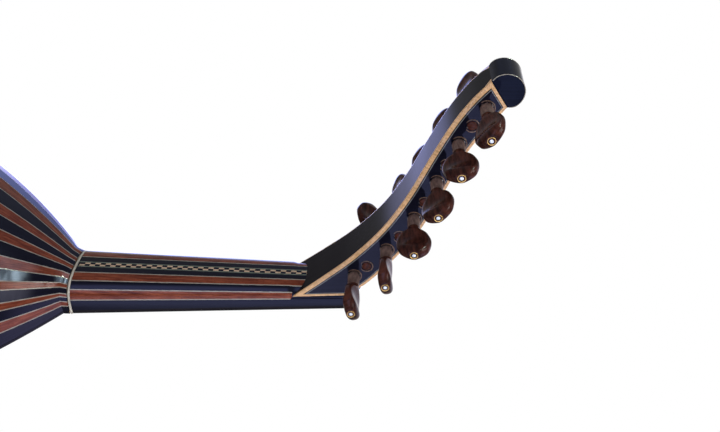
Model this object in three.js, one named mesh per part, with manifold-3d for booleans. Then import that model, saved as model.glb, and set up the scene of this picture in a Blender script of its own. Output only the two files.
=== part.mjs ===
// A fretless short-necked lute, the oud, standing upright: +Z runs up the neck to the head, the soundboard
// faces -Y and the rounded back faces +Y. The instrument hangs by its neck: the frame's origin is where a
// hanger's yoke closes round the neck just under the nut, in the plane of the fingerboard's face.
// Lengths are millimetres.
import * as THREE from 'three';
import { mergeVertices } from 'three/addons/utils/BufferGeometryUtils.js';
import Module from 'manifold-3d';

const wasm = await Module();
wasm.setup();

// Clearances shared by every seat
const seatGap = 0.3;
const overrun = 4;

// Body: a pear-shaped outline over a bowl of bent ribs
const bodyLength = 490;
const bodyHalfWidth = 180;
const bodyDepth = 178;
const widestDrop = 335;
const deepestDrop = 315;
const shoulderFlat = 5;
const outlinePower = 2.82;
const depthPower = 1.7;
const sectionPower = 2.05;
const sectionJointPower = 0.95;
const sectionFade = 60;
const ribThickness = 3;
const ribStations = 20;
const purflingWidth = 0.7;
const tailEyeHalfWidth = 18;
// Where the ribs of one side meet near the joint, as shares of the section's length from the rim; the other
// side mirrors it. Further down the ribs even out, but for the wider one at the rim
const ribEdgeShares = [0.0545, 0.098, 0.141, 0.1695, 0.2185, 0.254, 0.304, 0.3578, 0.4218, 0.4695];
const ribEvenDrop = 170;
const ribEvenPower = 4;
const rimRibWidthShare = 1.17;

// Soundboard with its rosettes and braces
const soundboardThickness = 2;
const largeRosetteRadius = 52;
const largeRosetteDrop = 172;
const smallRosetteRadius = 26;
const smallRosetteDrop = 240;
const smallRosetteOffset = 66;
const rosetteRim = 3.5;
const braceMargin = 9;
const braceHeight = 13;
const braceThickness = 5;
const braceEndRoom = 16;

// Neck, fingerboard, nut and the ring that marks the body joint
const neckLength = 200;
const neckJointWidth = 56;
const neckNutWidth = 38;
const neckJointDepth = 24.3;
const neckNutDepth = 16.7;
const neckPower = 3;
const neckFacets = 16;
const fingerboardThickness = 3;
const ringThickness = 1.6;
const ringProud = 0.4;
const nutThickness = 3.2;
const nutProud = 0.8;
const hangerDrop = 12;
const neckBlockLength = 48;
const tailBlockHeight = 34;
const tailBlockWidth = 96;
const tailBlockDepth = 52;
const tailCapHalfWidth = 29;
const tailCapThickness = 2;
const tailCapFacets = 12;

// Pegbox: two cheeks, a back and an end block, bent back from the neck
const pegboxFoot = 162;
const pegboxSeat = 10.8;
const pegboxRun = 133.3;
const pegboxRise = 166.4;
const pegboxFootWidth = 38.8;
const pegboxTopWidth = 23.2;
const cheekThickness = 4.2;
const pegboxBackThickness = 4;
const finialRadius = 12.1;
const tenonClearance = 0.9;
const neckTongueLength = 10;
// Shares of the pegbox's run and rise: its back edge, its open rim and the row of peg centres
const backEdgeShares = [[0, 0], [0.167, 0.103], [0.33, 0.212], [0.488, 0.349], [0.615, 0.505], [0.724, 0.677],
  [0.826, 0.827], [0.915, 0.928], [1, 1]];
const frontRimShares = [[0.287, 0], [0.405, 0.066], [0.566, 0.206], [0.698, 0.357], [0.859, 0.618],
  [0.929, 0.73], [1.082, 0.892]];
const pegRowShares = [[0.337, 0.108], [0.51, 0.24], [0.65, 0.395], [0.761, 0.567], [0.861, 0.739],
  [0.985, 0.891]];
const finialCentreShares = [1.07, 0.958];

// Pegs
const pegRadius = 4.2;
const pegTipRadius = 3.3;
const pegTipProud = 0.8;
const pegNeckLength = 15;
const pegHeadLength = 27;
const pegHeadWidth = 23;
const pegHeadThickness = 9;
const pegHeadPower = 0.75;
const pegFacets = 12;
// How far each thumb piece is turned from lying along the neck, in degrees, from the nut to the head
const bassPegTurns = [103, 93, 2, 32, 12, 48];
const treblePegTurns = [140, 70, 50, 55, 60];
const farPegShare = 0.45;

// Bridge, pick plate and strings
const bridgeRise = 100;
const bridgeHalfLength = 60;
const bridgeHeight = 9;
const bridgeHalfThickness = 6.5;
const bridgeStringHeight = 6.6;
const pickPlateHalfWidth = 30;
const pickPlateLength = 88;
const pickPlateThickness = 0.6;
const courseCount = 6;
const bridgeSpread = 72;
const nutSpread = 23.4;
const bridgePairGap = 4.4;
const nutPairGap = 1.9;
const bassRadius = 0.55;
const trebleRadius = 0.32;
const stringSides = 6;
const shaftPassGap = 0.9;
const pegLaneShare = 0.86;

const ebony = () => new THREE.MeshStandardMaterial({ color: 0x17161f, roughness: 0.3, metalness: 0 });
const redwood = () => new THREE.MeshStandardMaterial({ color: 0x7c3a28, roughness: 0.3, metalness: 0 });
const spruce = () => new THREE.MeshStandardMaterial({ color: 0xd9b27a, roughness: 0.5, metalness: 0 });
const blockWood = () => new THREE.MeshStandardMaterial({ color: 0xb98a58, roughness: 0.7, metalness: 0 });
const bone = () => new THREE.MeshStandardMaterial({ color: 0xd8cfb8, roughness: 0.4, metalness: 0 });
const rosewood = () => new THREE.MeshStandardMaterial({ color: 0x3d2422, roughness: 0.35, metalness: 0 });
const fretwork = () => new THREE.MeshStandardMaterial({ color: 0x4a2c1c, roughness: 0.5, metalness: 0 });
const nylon = () => new THREE.MeshStandardMaterial({ color: 0xe4ded0, roughness: 0.3, metalness: 0 });
const woundSilver = () => new THREE.MeshStandardMaterial({ color: 0xb8b8bc, roughness: 0.35, metalness: 0.8 });

const oud = new THREE.Group();
oud.name = 'oud';

function addPart(name, geometry, material) {
  const mesh = new THREE.Mesh(geometry, material);
  mesh.name = name;
  oud.add(mesh);
  return mesh;
}

// Closed meshes and solids

function signedVolume(geometry) {
  const place = geometry.getAttribute('position');
  const index = geometry.getIndex();
  const a = new THREE.Vector3();
  const b = new THREE.Vector3();
  const c = new THREE.Vector3();
  let volume = 0;
  for (let i = 0; i < index.count; i += 3) {
    a.fromBufferAttribute(place, index.getX(i));
    b.fromBufferAttribute(place, index.getX(i + 1));
    c.fromBufferAttribute(place, index.getX(i + 2));
    volume += a.dot(b.cross(c));
  }
  return volume / 6;
}

// Keeps only positions, merges shared corners and turns the faces outwards
function closed(geometry) {
  const bare = geometry.clone();
  for (const name of Object.keys(bare.attributes)) {
    if (name !== 'position') bare.deleteAttribute(name);
  }
  const merged = mergeVertices(bare, 1e-4);
  const corners = merged.getIndex().array;
  const kept = [];
  for (let i = 0; i < corners.length; i += 3) {
    const [a, b, c] = corners.slice(i, i + 3);
    if (a !== b && b !== c && c !== a) kept.push(a, b, c);
  }
  merged.setIndex(kept);
  if (signedVolume(merged) < 0) {
    const index = merged.getIndex();
    for (let i = 0; i < index.count; i += 3) {
      const first = index.getX(i);
      index.setX(i, index.getX(i + 1));
      index.setX(i + 1, first);
    }
  }
  merged.computeVertexNormals();
  return merged;
}

function solid(geometry) {
  const shell = closed(geometry);
  return new wasm.Manifold(new wasm.Mesh({
    numProp: 3,
    vertProperties: new Float32Array(shell.getAttribute('position').array),
    triVerts: new Uint32Array(shell.getIndex().array),
  }));
}

function fromSolid(body) {
  const mesh = body.getMesh();
  const geometry = new THREE.BufferGeometry();
  geometry.setAttribute('position', new THREE.BufferAttribute(new Float32Array(mesh.vertProperties), 3));
  geometry.setIndex(new THREE.BufferAttribute(new Uint32Array(mesh.triVerts), 1));
  geometry.computeVertexNormals();
  return geometry;
}

// A skin through rings of equally many points. Each end is closed by a fan or, on a ring that runs out
// along one line and back along another, by a strip between the two.
function loft(rings, endsAreStrips = false) {
  const count = rings[0].length;
  const points = rings.flat();
  const triangles = [];
  for (let r = 0; r + 1 < rings.length; r += 1) {
    for (let i = 0; i < count; i += 1) {
      const here = r * count + i;
      const next = r * count + ((i + 1) % count);
      triangles.push(here, next, here + count);
      triangles.push(next, next + count, here + count);
    }
  }
  const last = (rings.length - 1) * count;
  const endCap = (a, b, c) => triangles.push(a, c, b, last + a, last + b, last + c);
  if (endsAreStrips) {
    for (let i = 0; i + 1 < count / 2; i += 1) {
      endCap(i, i + 1, count - 1 - i);
      endCap(i + 1, count - 2 - i, count - 1 - i);
    }
  } else {
    for (let i = 1; i + 1 < count; i += 1) endCap(0, i, i + 1);
  }
  const geometry = new THREE.BufferGeometry().setFromPoints(points);
  geometry.setIndex(triangles);
  return closed(geometry);
}

// Bends a flat extrusion: the shape's x runs along the neck, its y is depth and its thickness runs across
function acrossNeck(shape, width, toX) {
  const geometry = new THREE.ExtrudeGeometry(shape, { depth: width, bevelEnabled: false, curveSegments: 12 });
  const place = geometry.getAttribute('position');
  for (let i = 0; i < place.count; i += 1) {
    const along = place.getX(i);
    place.setXYZ(i, toX(along, place.getZ(i)), place.getY(i), bodyLength + along);
  }
  return closed(geometry);
}

// A flat plate in the soundboard's plane, from depth front to depth back
function plate(shape, front, back) {
  const settings = { depth: back - front, bevelEnabled: false, curveSegments: 12 };
  const geometry = new THREE.ExtrudeGeometry(shape, settings);
  geometry.rotateX(Math.PI / 2);
  geometry.translate(0, back, 0);
  return closed(geometry);
}

function ringOfPoints(count, radius, centreX, centreY, turn = 0) {
  return Array.from({ length: count }, (_, i) => {
    const angle = turn + (2 * Math.PI * i) / count;
    return new THREE.Vector2(centreX + radius * Math.cos(angle), centreY + radius * Math.sin(angle));
  });
}

// The bowl's outer surface, by distance below the neck joint and share of the way round

const outlineHalfWidth = (drop) => {
  if (drop > widestDrop) {
    const run = (drop - widestDrop) / (bodyLength - widestDrop);
    return bodyHalfWidth * Math.sqrt(Math.max(1 - run ** 2, 0));
  }
  const left = 1 - Math.max(drop - shoulderFlat, 0) / (widestDrop - shoulderFlat);
  return bodyHalfWidth - (bodyHalfWidth - neckJointWidth / 2) * left ** outlinePower;
};

const outlineDepth = (drop) => {
  if (drop > deepestDrop) {
    const run = (drop - deepestDrop) / (bodyLength - deepestDrop);
    return bodyDepth * Math.sqrt(Math.max(1 - run ** 2, 0));
  }
  return bodyDepth - (bodyDepth - neckJointDepth) * (1 - drop / deepestDrop) ** depthPower;
};

// Half of a superellipse standing on the rim
class ArchCurve extends THREE.Curve {
  constructor(halfWidth, base, depth, roundness, level) {
    super();
    Object.assign(this, { halfWidth, base, depth, roundness, level });
    this.arcLengthDivisions = 160;
  }

  getPoint(t) {
    const power = 2 / this.roundness;
    const cos = Math.cos(Math.PI * t);
    const sin = Math.max(Math.sin(Math.PI * t), 0);
    const x = -this.halfWidth * Math.sign(cos) * Math.abs(cos) ** power;
    return new THREE.Vector3(x, this.base + (this.depth - this.base) * sin ** power, this.level);
  }
}

const rimDepth = soundboardThickness + seatGap;
const bowlSection = (drop) => new ArchCurve(
  outlineHalfWidth(drop),
  rimDepth,
  Math.max(outlineDepth(drop), rimDepth),
  sectionPower + sectionJointPower * Math.exp(-drop / sectionFade),
  bodyLength - drop,
);

// A station holds one level's section, and the level just past it, for the surface's direction
const probeShare = 0.002;
const probeDrop = 0.05;
function bowlStation(drop) {
  const section = bowlSection(drop);
  const beyond = bowlSection(drop + probeDrop);
  const before = bowlSection(Math.max(drop - probeDrop, 0));
  return { drop, section, beyond, before, length: section.getLength() };
}

function bowlPoint(station, share, inset) {
  const point = station.section.getPointAt(share);
  if (inset === 0) return point;
  const low = station.section.getPointAt(Math.max(share - probeShare, 0));
  const high = station.section.getPointAt(Math.min(share + probeShare, 1));
  const down = station.beyond.getPointAt(share).sub(station.before.getPointAt(share));
  const normal = high.sub(low).cross(down).normalize();
  return point.addScaledVector(normal, -inset);
}

const tailShare = (halfWidth) => Math.sqrt(1 - (halfWidth / bodyHalfWidth) ** 2);
const tailDrop = (halfWidth) => widestDrop + (bodyLength - widestDrop) * tailShare(halfWidth);
// Stations crowd towards the tail, where the ribs bend most
const stationDrops = Array.from({ length: ribStations }, (_, k) => {
  const share = Math.sin((Math.PI / 2) * (k / (ribStations - 1)));
  return shoulderFlat + (tailDrop(tailEyeHalfWidth) - shoulderFlat) * share;
});

const ribCount = 2 * ribEdgeShares.length + 1;
const ribUnits = ribCount - 2 + 2 * rimRibWidthShare;

function ribEdges(drop) {
  const evened = 1 - Math.exp(-((drop / ribEvenDrop) ** ribEvenPower));
  const side = ribEdgeShares.map((share, i) => share + ((rimRibWidthShare + i) / ribUnits - share) * evened);
  const farSide = side.map((share) => 1 - share).reverse();
  return [0, ...side, ...farSide, 1];
}

const stations = [seatGap, ...stationDrops].map((drop) => ({ ...bowlStation(drop), edges: ribEdges(drop) }));

function makeRib(index) {
  const isFirst = index === 0;
  const isLast = index === ribCount - 1;
  const rings = stations.map((station) => {
    const half = purflingWidth / 2 / station.length;
    const from = station.edges[index] + (isFirst ? 0 : half);
    const to = station.edges[index + 1] - (isLast ? 0 : half);
    return [
      bowlPoint(station, from, ribThickness),
      bowlPoint(station, to, ribThickness),
      bowlPoint(station, to, 0),
      bowlPoint(station, from, 0),
    ];
  });
  return loft(rings);
}

for (let i = 0; i < ribCount; i += 1) {
  addPart(`rib_${String(i + 1).padStart(2, '0')}`, makeRib(i), i % 2 === 0 ? ebony() : redwood());
}

// The air inside the ribs, as a solid that the two end blocks are cut from
function innerBowl(base) {
  const inset = ribThickness + seatGap;
  const rings = stations.map((station) => station.edges.map((share) => {
    const point = bowlPoint(station, share, inset);
    point.y = Math.max(point.y, base);
    return point;
  }));
  return solid(loft(rings));
}

function box(minimum, maximum) {
  const size = maximum.clone().sub(minimum);
  const geometry = new THREE.BoxGeometry(size.x, size.y, size.z);
  const centre = minimum.clone().add(maximum).multiplyScalar(0.5);
  return geometry.translate(centre.x, centre.y, centre.z);
}

const airSpace = innerBowl(rimDepth);
const neckBlockBox = box(
  new THREE.Vector3(-bodyHalfWidth, 0, bodyLength - neckBlockLength),
  new THREE.Vector3(bodyHalfWidth, bodyDepth, bodyLength),
);
const tailBlockBox = box(
  new THREE.Vector3(-tailBlockWidth / 2, 0, 0),
  new THREE.Vector3(tailBlockWidth / 2, tailBlockDepth, tailBlockHeight),
);
addPart('neck_block', fromSolid(airSpace.intersect(solid(neckBlockBox))), blockWood());
addPart('tail_block', fromSolid(airSpace.intersect(solid(tailBlockBox))), blockWood());

// The cap over the ribs' meeting point at the tail: a half disc bent to the bowl, out from its pole
function makeTailCap() {
  const halfWidths = [tailCapHalfWidth, tailEyeHalfWidth, tailEyeHalfWidth / 2];
  const spans = halfWidths.map((half) => bowlStation(tailDrop(half)));
  const shares = Array.from({ length: tailCapFacets + 1 }, (_, i) => i / tailCapFacets);
  const outside = seatGap + tailCapThickness;
  const skin = (share, lift) => [
    ...spans.map((station) => bowlPoint(station, share, -lift)),
    new THREE.Vector3(0, rimDepth, -lift),
  ];
  return loft(shares.map((share) => [...skin(share, seatGap), ...skin(share, outside).reverse()]), true);
}

// Soundboard, with its holes and braces


function pearShape() {
  const steps = 26;
  const side = Array.from({ length: steps }, (_, k) => {
    const share = (1 - Math.cos((Math.PI * k) / steps)) / 2;
    const drop = seatGap + (bodyLength - seatGap) * share;
    return new THREE.Vector2(outlineHalfWidth(drop), bodyLength - drop);
  });
  const mirrored = side.map((point) => new THREE.Vector2(-point.x, point.y)).reverse();
  return new THREE.Shape([...side, new THREE.Vector2(0, 0), ...mirrored]);
}

const smallRosette = { radius: smallRosetteRadius, drop: smallRosetteDrop, petals: 8 };
const rosettes = [
  { name: 'rosette_large', radius: largeRosetteRadius, x: 0, drop: largeRosetteDrop, petals: 12 },
  { name: 'rosette_bass_side', x: -smallRosetteOffset, ...smallRosette },
  { name: 'rosette_treble_side', x: smallRosetteOffset, ...smallRosette },
];

// Braces lie beside the rosettes, the blocks and the bridge, and one between the rosettes and the bridge
function braceDrops() {
  const aboveLarge = largeRosetteDrop - largeRosetteRadius - braceMargin;
  const belowSmall = smallRosetteDrop + smallRosetteRadius + braceMargin;
  const aboveBridge = bodyLength - bridgeRise - bridgeHalfThickness - 3 * braceMargin;
  const belowBridge = bodyLength - bridgeRise + bridgeHalfThickness + 2 * braceMargin;
  const byTailBlock = bodyLength - tailBlockHeight - braceMargin / 2;
  return [
    (neckBlockLength + aboveLarge) / 2,
    aboveLarge,
    belowSmall,
    (belowSmall + aboveBridge) / 2,
    aboveBridge,
    belowBridge,
    byTailBlock,
  ];
}

function makeSoundboard() {
  const shape = pearShape();
  for (const { radius, x, drop } of rosettes) {
    const hole = new THREE.Path(ringOfPoints(36, radius + seatGap, x, bodyLength - drop));
    shape.holes.push(hole);
  }
  let board = solid(plate(shape, 0, soundboardThickness));
  for (const drop of braceDrops()) {
    const half = outlineHalfWidth(drop) - braceEndRoom;
    const root = soundboardThickness / 2;
    const profile = new THREE.Shape([
      new THREE.Vector2(-half, root),
      new THREE.Vector2(half, root),
      new THREE.Vector2(half - braceHeight, soundboardThickness + braceHeight),
      new THREE.Vector2(braceHeight - half, soundboardThickness + braceHeight),
    ]);
    const bar = new THREE.ExtrudeGeometry(profile, { depth: braceThickness, bevelEnabled: false });
    bar.translate(0, 0, bodyLength - drop - braceThickness / 2);
    board = board.add(solid(bar));
  }
  return fromSolid(board);
}

// Fretwork rosette: a rim, a ring of pointed arches, a ring of lozenges and a star in the middle
function makeRosette({ radius, x, drop, petals }) {
  const centre = new THREE.Vector2(x, bodyLength - drop);
  const shape = new THREE.Shape(ringOfPoints(36, radius, centre.x, centre.y));
  const step = (2 * Math.PI) / petals;
  const at = (distance, angle) => new THREE.Vector2(
    centre.x + distance * Math.cos(angle),
    centre.y + distance * Math.sin(angle),
  );
  const outer = radius - rosetteRim;
  const barShare = 0.16;
  const archShares = [0.97, 0.8, 0.66];
  const lozengeShares = [0.62, 0.5, 0.38];
  const starShare = 0.28;
  for (let i = 0; i < petals; i += 1) {
    const angle = i * step;
    const wide = step * (0.5 - barShare / 2);
    shape.holes.push(new THREE.Path([
      at(outer * archShares[0], angle - wide),
      at(outer, angle),
      at(outer * archShares[0], angle + wide),
      at(outer * archShares[1], angle + wide),
      at(outer * archShares[2], angle),
      at(outer * archShares[1], angle - wide),
    ]));
    const between = angle + step / 2;
    shape.holes.push(new THREE.Path([
      at(outer * lozengeShares[0], between),
      at(outer * lozengeShares[1], between + wide * 0.8),
      at(outer * lozengeShares[2], between),
      at(outer * lozengeShares[1], between - wide * 0.8),
    ]));
  }
  const star = Array.from({ length: petals * 2 }, (_, i) => (
    at(outer * starShare * (i % 2 === 0 ? 1 : 0.55), (i * step) / 2)));
  shape.holes.push(new THREE.Path(star));
  return plate(shape, 0, soundboardThickness);
}

addPart('soundboard', makeSoundboard(), spruce());
rosettes.forEach((rosette) => addPart(rosette.name, makeRosette(rosette), fretwork()));
addPart('tail_cap', makeTailCap(), ebony());

// Neck

const neckHalfWidth = (along) => (neckJointWidth + (neckNutWidth - neckJointWidth) * (along / neckLength)) / 2;
const neckDepth = (along) => neckJointDepth + (neckNutDepth - neckJointDepth) * (along / neckLength);

function neckSection(along, base, proud) {
  const arch = new ArchCurve(
    neckHalfWidth(along) + proud,
    base,
    neckDepth(along) + proud,
    neckPower,
    bodyLength + along,
  );
  return Array.from({ length: neckFacets + 1 }, (_, i) => arch.getPointAt(i / neckFacets));
}

function makeNeck() {
  const base = fingerboardThickness + seatGap;
  const start = ringThickness + 2 * seatGap;
  const end = neckLength - seatGap;
  const whole = solid(loft([neckSection(start, base, 0), neckSection(end, base, 0)]));
  const half = cheekInner(tongueEnd) - seatGap;
  const scarf = (left, right, from) => solid(box(
    new THREE.Vector3(left, pegboxSeat - seatGap, bodyLength + from),
    new THREE.Vector3(right, neckJointDepth + overrun, bodyLength + neckLength + overrun),
  ));
  return fromSolid(whole
    .subtract(scarf(-neckJointWidth, neckJointWidth, tongueEnd))
    .subtract(scarf(half, neckJointWidth, pegboxFoot))
    .subtract(scarf(-neckJointWidth, -half, pegboxFoot)));
}

function makeFingerboard() {
  const start = ringThickness + 2 * seatGap;
  const end = neckLength - seatGap;
  const shape = new THREE.Shape([
    new THREE.Vector2(-neckHalfWidth(start), bodyLength + start),
    new THREE.Vector2(neckHalfWidth(start), bodyLength + start),
    new THREE.Vector2(neckHalfWidth(end), bodyLength + end),
    new THREE.Vector2(-neckHalfWidth(end), bodyLength + end),
  ]);
  return plate(shape, 0, fingerboardThickness);
}

const nutEnd = neckLength + nutThickness;

function makeNut() {
  const half = neckHalfWidth(neckLength);
  const profile = new THREE.Shape([
    new THREE.Vector2(neckLength, pegboxSeat - 2 * seatGap),
    new THREE.Vector2(neckLength, -nutProud / 2),
    new THREE.Vector2(nutEnd - nutProud, -nutProud),
    new THREE.Vector2(nutEnd, 0),
    new THREE.Vector2(nutEnd, pegboxSeat - 2 * seatGap),
  ]);
  return acrossNeck(profile, 2 * half, (along, across) => across - half);
}

addPart('joint_ring', loft([
  neckSection(seatGap, 0, ringProud),
  neckSection(seatGap + ringThickness, 0, ringProud),
]), bone());
addPart('fingerboard', makeFingerboard(), ebony());
addPart('nut', makeNut(), bone());

// Pegbox

const placeShares = ([run, rise]) => (
  new THREE.Vector2(pegboxFoot + pegboxRun * run, pegboxSeat + pegboxRise * rise));
const backEdge = new THREE.SplineCurve(backEdgeShares.map(placeShares));
const frontRim = new THREE.SplineCurve(frontRimShares.map(placeShares));
const pegRow = new THREE.SplineCurve(pegRowShares.map(placeShares));
const pegboxTop = frontRim.getPoint(1).x;
const pegboxTaper = (pegboxFootWidth - pegboxTopWidth) / 2 / (pegboxTop - pegboxFoot);
const cheekOuter = (along) => pegboxFootWidth / 2 - pegboxTaper * (along - pegboxFoot);
const cheekInner = (along) => cheekOuter(along) - cheekThickness;
// The neck's arch runs on between the cheeks as a tongue, until the pegbox's back has risen over it
const tongueEnd = pegboxFoot + neckTongueLength;

// Pegs alternate: one row enters from the bass side, the other, between them, from the treble side
const pegRowSteps = pegRowShares.length - 1;
const pegs = [];
for (let i = 0; i <= pegRowSteps; i += 1) {
  const turn = THREE.MathUtils.degToRad(bassPegTurns[i]);
  pegs.push({ name: `peg_bass_${i + 1}`, side: -1, at: pegRow.getPoint(i / pegRowSteps), turn });
  if (i < pegRowSteps) {
    const place = pegRow.getPoint((i + farPegShare) / pegRowSteps);
    const trebleTurn = THREE.MathUtils.degToRad(treblePegTurns[i]);
    pegs.push({ name: `peg_treble_${i + 1}`, side: 1, at: place, turn: trebleTurn });
  }
}

// The slanted end of the cheeks, from the back corner to the front lip, and the room for the block's tenon
const endCorner = backEdge.getPoint(1);
const endLip = frontRim.getPoint(1);
const endInwards = endLip.clone().sub(endCorner).normalize();
const endOutwards = new THREE.Vector2(-endInwards.y, endInwards.x);
const lastShaftDrop = endCorner.clone().sub(pegs[pegs.length - 1].at).dot(endOutwards);
const tenonReach = lastShaftDrop - pegRadius - tenonClearance;

const holeSides = 12;
const holeRadius = (radius) => (radius + seatGap) / Math.cos(Math.PI / holeSides);

function makeCheek(side) {
  const back = backEdge.getPoints(24);
  const front = frontRim.getPoints(20).reverse();
  const shape = new THREE.Shape([...back, ...front]);
  for (const peg of pegs) {
    const radius = holeRadius(peg.side === side ? pegRadius : pegTipRadius);
    shape.holes.push(new THREE.Path(ringOfPoints(holeSides, radius, peg.at.x, peg.at.y)));
  }
  return acrossNeck(shape, cheekThickness, (along, across) => side * (cheekOuter(along) - across));
}

function backDepthAt(along) {
  let low = 0;
  let high = 1;
  for (let i = 0; i < 30; i += 1) {
    const middle = (low + high) / 2;
    if (backEdge.getPoint(middle).x < along) low = middle;
    else high = middle;
  }
  const place = backEdge.getPoint(low);
  const tangent = backEdge.getTangent(low);
  return { depth: place.y, thickness: pegboxBackThickness / tangent.x };
}

// The back closes the trough between the cheeks. Its foot fills it as far as the nut and laps over the neck's
// tongue
function makePegboxBack() {
  const wallStart = neckLength + seatGap;
  const last = endCorner.x - endOutwards.x * (tenonReach + seatGap);
  const troughSteps = 16;
  const lapStart = pegboxFoot + overrun;
  const levels = [0, 0.25, 0.5, 0.75].map((share) => lapStart + (wallStart - lapStart) * share);
  levels.push(wallStart - seatGap);
  for (let i = 0; i <= troughSteps; i += 1) levels.push(wallStart + (last - wallStart) * (i / troughSteps));
  const rings = levels.map((along) => {
    const { depth, thickness } = backDepthAt(along);
    const half = cheekInner(along) - seatGap;
    const under = along < wallStart ? pegboxSeat : depth - thickness;
    const level = bodyLength + along;
    return [
      new THREE.Vector3(half, under, level),
      new THREE.Vector3(-half, under, level),
      new THREE.Vector3(-half, depth, level),
      new THREE.Vector3(half, depth, level),
    ];
  });
  const tongueRoom = solid(loft([
    neckSection(pegboxFoot, fingerboardThickness, seatGap),
    neckSection(tongueEnd + seatGap, fingerboardThickness, seatGap),
  ]));
  return fromSolid(solid(loft(rings)).subtract(tongueRoom));
}

function makeFinial() {
  const centre = placeShares(finialCentreShares);
  const startAngle = Math.atan2(endCorner.y - centre.y, endCorner.x - centre.x);
  const endAngle = Math.atan2(endLip.y - centre.y, endLip.x - centre.x);
  const arcSteps = 14;
  const arc = Array.from({ length: arcSteps - 1 }, (_, i) => {
    const angle = startAngle + ((endAngle - startAngle) * (i + 1)) / arcSteps;
    return new THREE.Vector2(
      centre.x + finialRadius * Math.cos(angle),
      centre.y + finialRadius * Math.sin(angle),
    );
  });
  const lift = endOutwards.clone().multiplyScalar(seatGap);
  const cap = new THREE.Shape([endCorner.clone().add(lift), ...arc, endLip.clone().add(lift)]);
  const half = cheekOuter(endCorner.x);
  const capSolid = solid(acrossNeck(cap, 2 * half, (along, across) => across - half));
  const root = endOutwards.clone().multiplyScalar(finialRadius / 2);
  const reach = endOutwards.clone().multiplyScalar(-tenonReach);
  const tenonBack = endCorner.clone().addScaledVector(endInwards, seatGap);
  const tenonFront = endLip.clone().addScaledVector(endInwards, -seatGap);
  const tenon = new THREE.Shape([
    tenonBack.clone().add(root),
    tenonFront.clone().add(root),
    tenonFront.clone().add(reach),
    tenonBack.clone().add(reach),
  ]);
  const tenonHalf = cheekInner(endLip.x) - seatGap;
  const tenonSolid = solid(acrossNeck(tenon, 2 * tenonHalf, (along, across) => across - tenonHalf));
  return fromSolid(capSolid.add(tenonSolid));
}

addPart('neck', makeNeck(), redwood());
addPart('pegbox_cheek_bass', makeCheek(-1), ebony());
addPart('pegbox_cheek_treble', makeCheek(1), ebony());
addPart('pegbox_back', makePegboxBack(), ebony());
addPart('pegbox_finial', makeFinial(), ebony());

// Pegs: a tapered shaft through both cheeks and an oval thumb piece, hollowed on both faces for the fingers

// Each ring of a thumb piece: share of its length, of its width and of its thickness
const headShares = [[0.04, 0.44, 0.95], [0.13, 0.7, 0.9], [0.28, 0.9, 0.76], [0.45, 1, 0.68],
  [0.62, 0.97, 0.78], [0.76, 0.86, 1], [0.87, 0.69, 0.93], [0.95, 0.48, 0.8], [1, 0.31, 0.62]];

function makePeg({ side, at, turn }) {
  const outer = cheekOuter(at.x);
  const tip = -outer - pegTipProud;
  const headStart = outer + pegNeckLength;
  // Each ring: distance across, half width, half thickness and how square its corners are
  const outline = [
    [tip, pegTipRadius * 0.7, pegTipRadius * 0.7, 1],
    [tip + pegTipProud / 2, pegTipRadius, pegTipRadius, 1],
    [-outer + cheekThickness, pegTipRadius, pegTipRadius, 1],
    [outer - cheekThickness, pegRadius, pegRadius, 1],
    [outer + pegNeckLength * 0.85, pegRadius, pegRadius, 1],
    ...headShares.map(([place, width, thickness]) => [headStart + pegHeadLength * place,
      (pegHeadWidth / 2) * width, (pegHeadThickness / 2) * thickness, pegHeadPower]),
  ];
  const rounded = (value, power) => Math.sign(value) * Math.abs(value) ** power;
  const cosTurn = Math.cos(turn);
  const sinTurn = Math.sin(turn);
  const rings = outline.map(([across, halfWidth, halfThick, power]) => (
    Array.from({ length: pegFacets }, (_, i) => {
      const angle = (2 * Math.PI * (i + 0.5)) / pegFacets;
      const wide = halfWidth * rounded(Math.cos(angle), power);
      const lift = halfThick * rounded(Math.sin(angle), power);
      return new THREE.Vector3(
        side * across,
        at.y + lift * cosTurn + wide * sinTurn,
        bodyLength + at.x + wide * cosTurn - lift * sinTurn,
      );
    })));
  return loft(rings);
}

pegs.forEach((peg) => addPart(peg.name, makePeg(peg), rosewood()));

// Bridge and pick plate on the soundboard

function makeBridge() {
  const shares = [[-1, 0.3, 0.2], [-0.86, 0.7, 0.45], [-0.74, 1, 1],
    [0.74, 1, 1], [0.86, 0.7, 0.45], [1, 0.3, 0.2]];
  const rings = shares.map(([place, thicknessShare, heightShare]) => {
    const x = place * bridgeHalfLength;
    const thick = bridgeHalfThickness * thicknessShare;
    const top = -seatGap - bridgeHeight * heightShare;
    const slope = thick * 0.7;
    return [
      new THREE.Vector3(x, -seatGap, bridgeRise - thick),
      new THREE.Vector3(x, -seatGap, bridgeRise + thick),
      new THREE.Vector3(x, top, bridgeRise + slope),
      new THREE.Vector3(x, top, bridgeRise - slope),
    ];
  });
  return loft(rings);
}

function makePickPlate() {
  const low = bridgeRise + bridgeHalfThickness * 4;
  const high = low + pickPlateLength;
  const shape = new THREE.Shape();
  const waist = pickPlateHalfWidth;
  shape.moveTo(0, low);
  shape.bezierCurveTo(waist, low, waist * 1.2, low + pickPlateLength * 0.45, 0, high);
  shape.bezierCurveTo(-waist * 1.2, low + pickPlateLength * 0.45, -waist, low, 0, low);
  return plate(shape, -seatGap - pickPlateThickness, -seatGap);
}

addPart('bridge', makeBridge(), rosewood());
addPart('pick_plate', makePickPlate(), rosewood());

// Strings: a single bass and five pairs, taut from the bridge over the nut and down to their pegs

function lanes(spread, pairGap) {
  const places = [-spread / 2];
  for (let course = 1; course < courseCount; course += 1) {
    const centre = -spread / 2 + ((spread - pairGap / 2) * course) / (courseCount - 1);
    places.push(centre - pairGap / 2, centre + pairGap / 2);
  }
  return places;
}

const bridgeLanes = lanes(bridgeSpread, bridgePairGap);
const nutLanes = lanes(nutSpread, nutPairGap);

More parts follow.
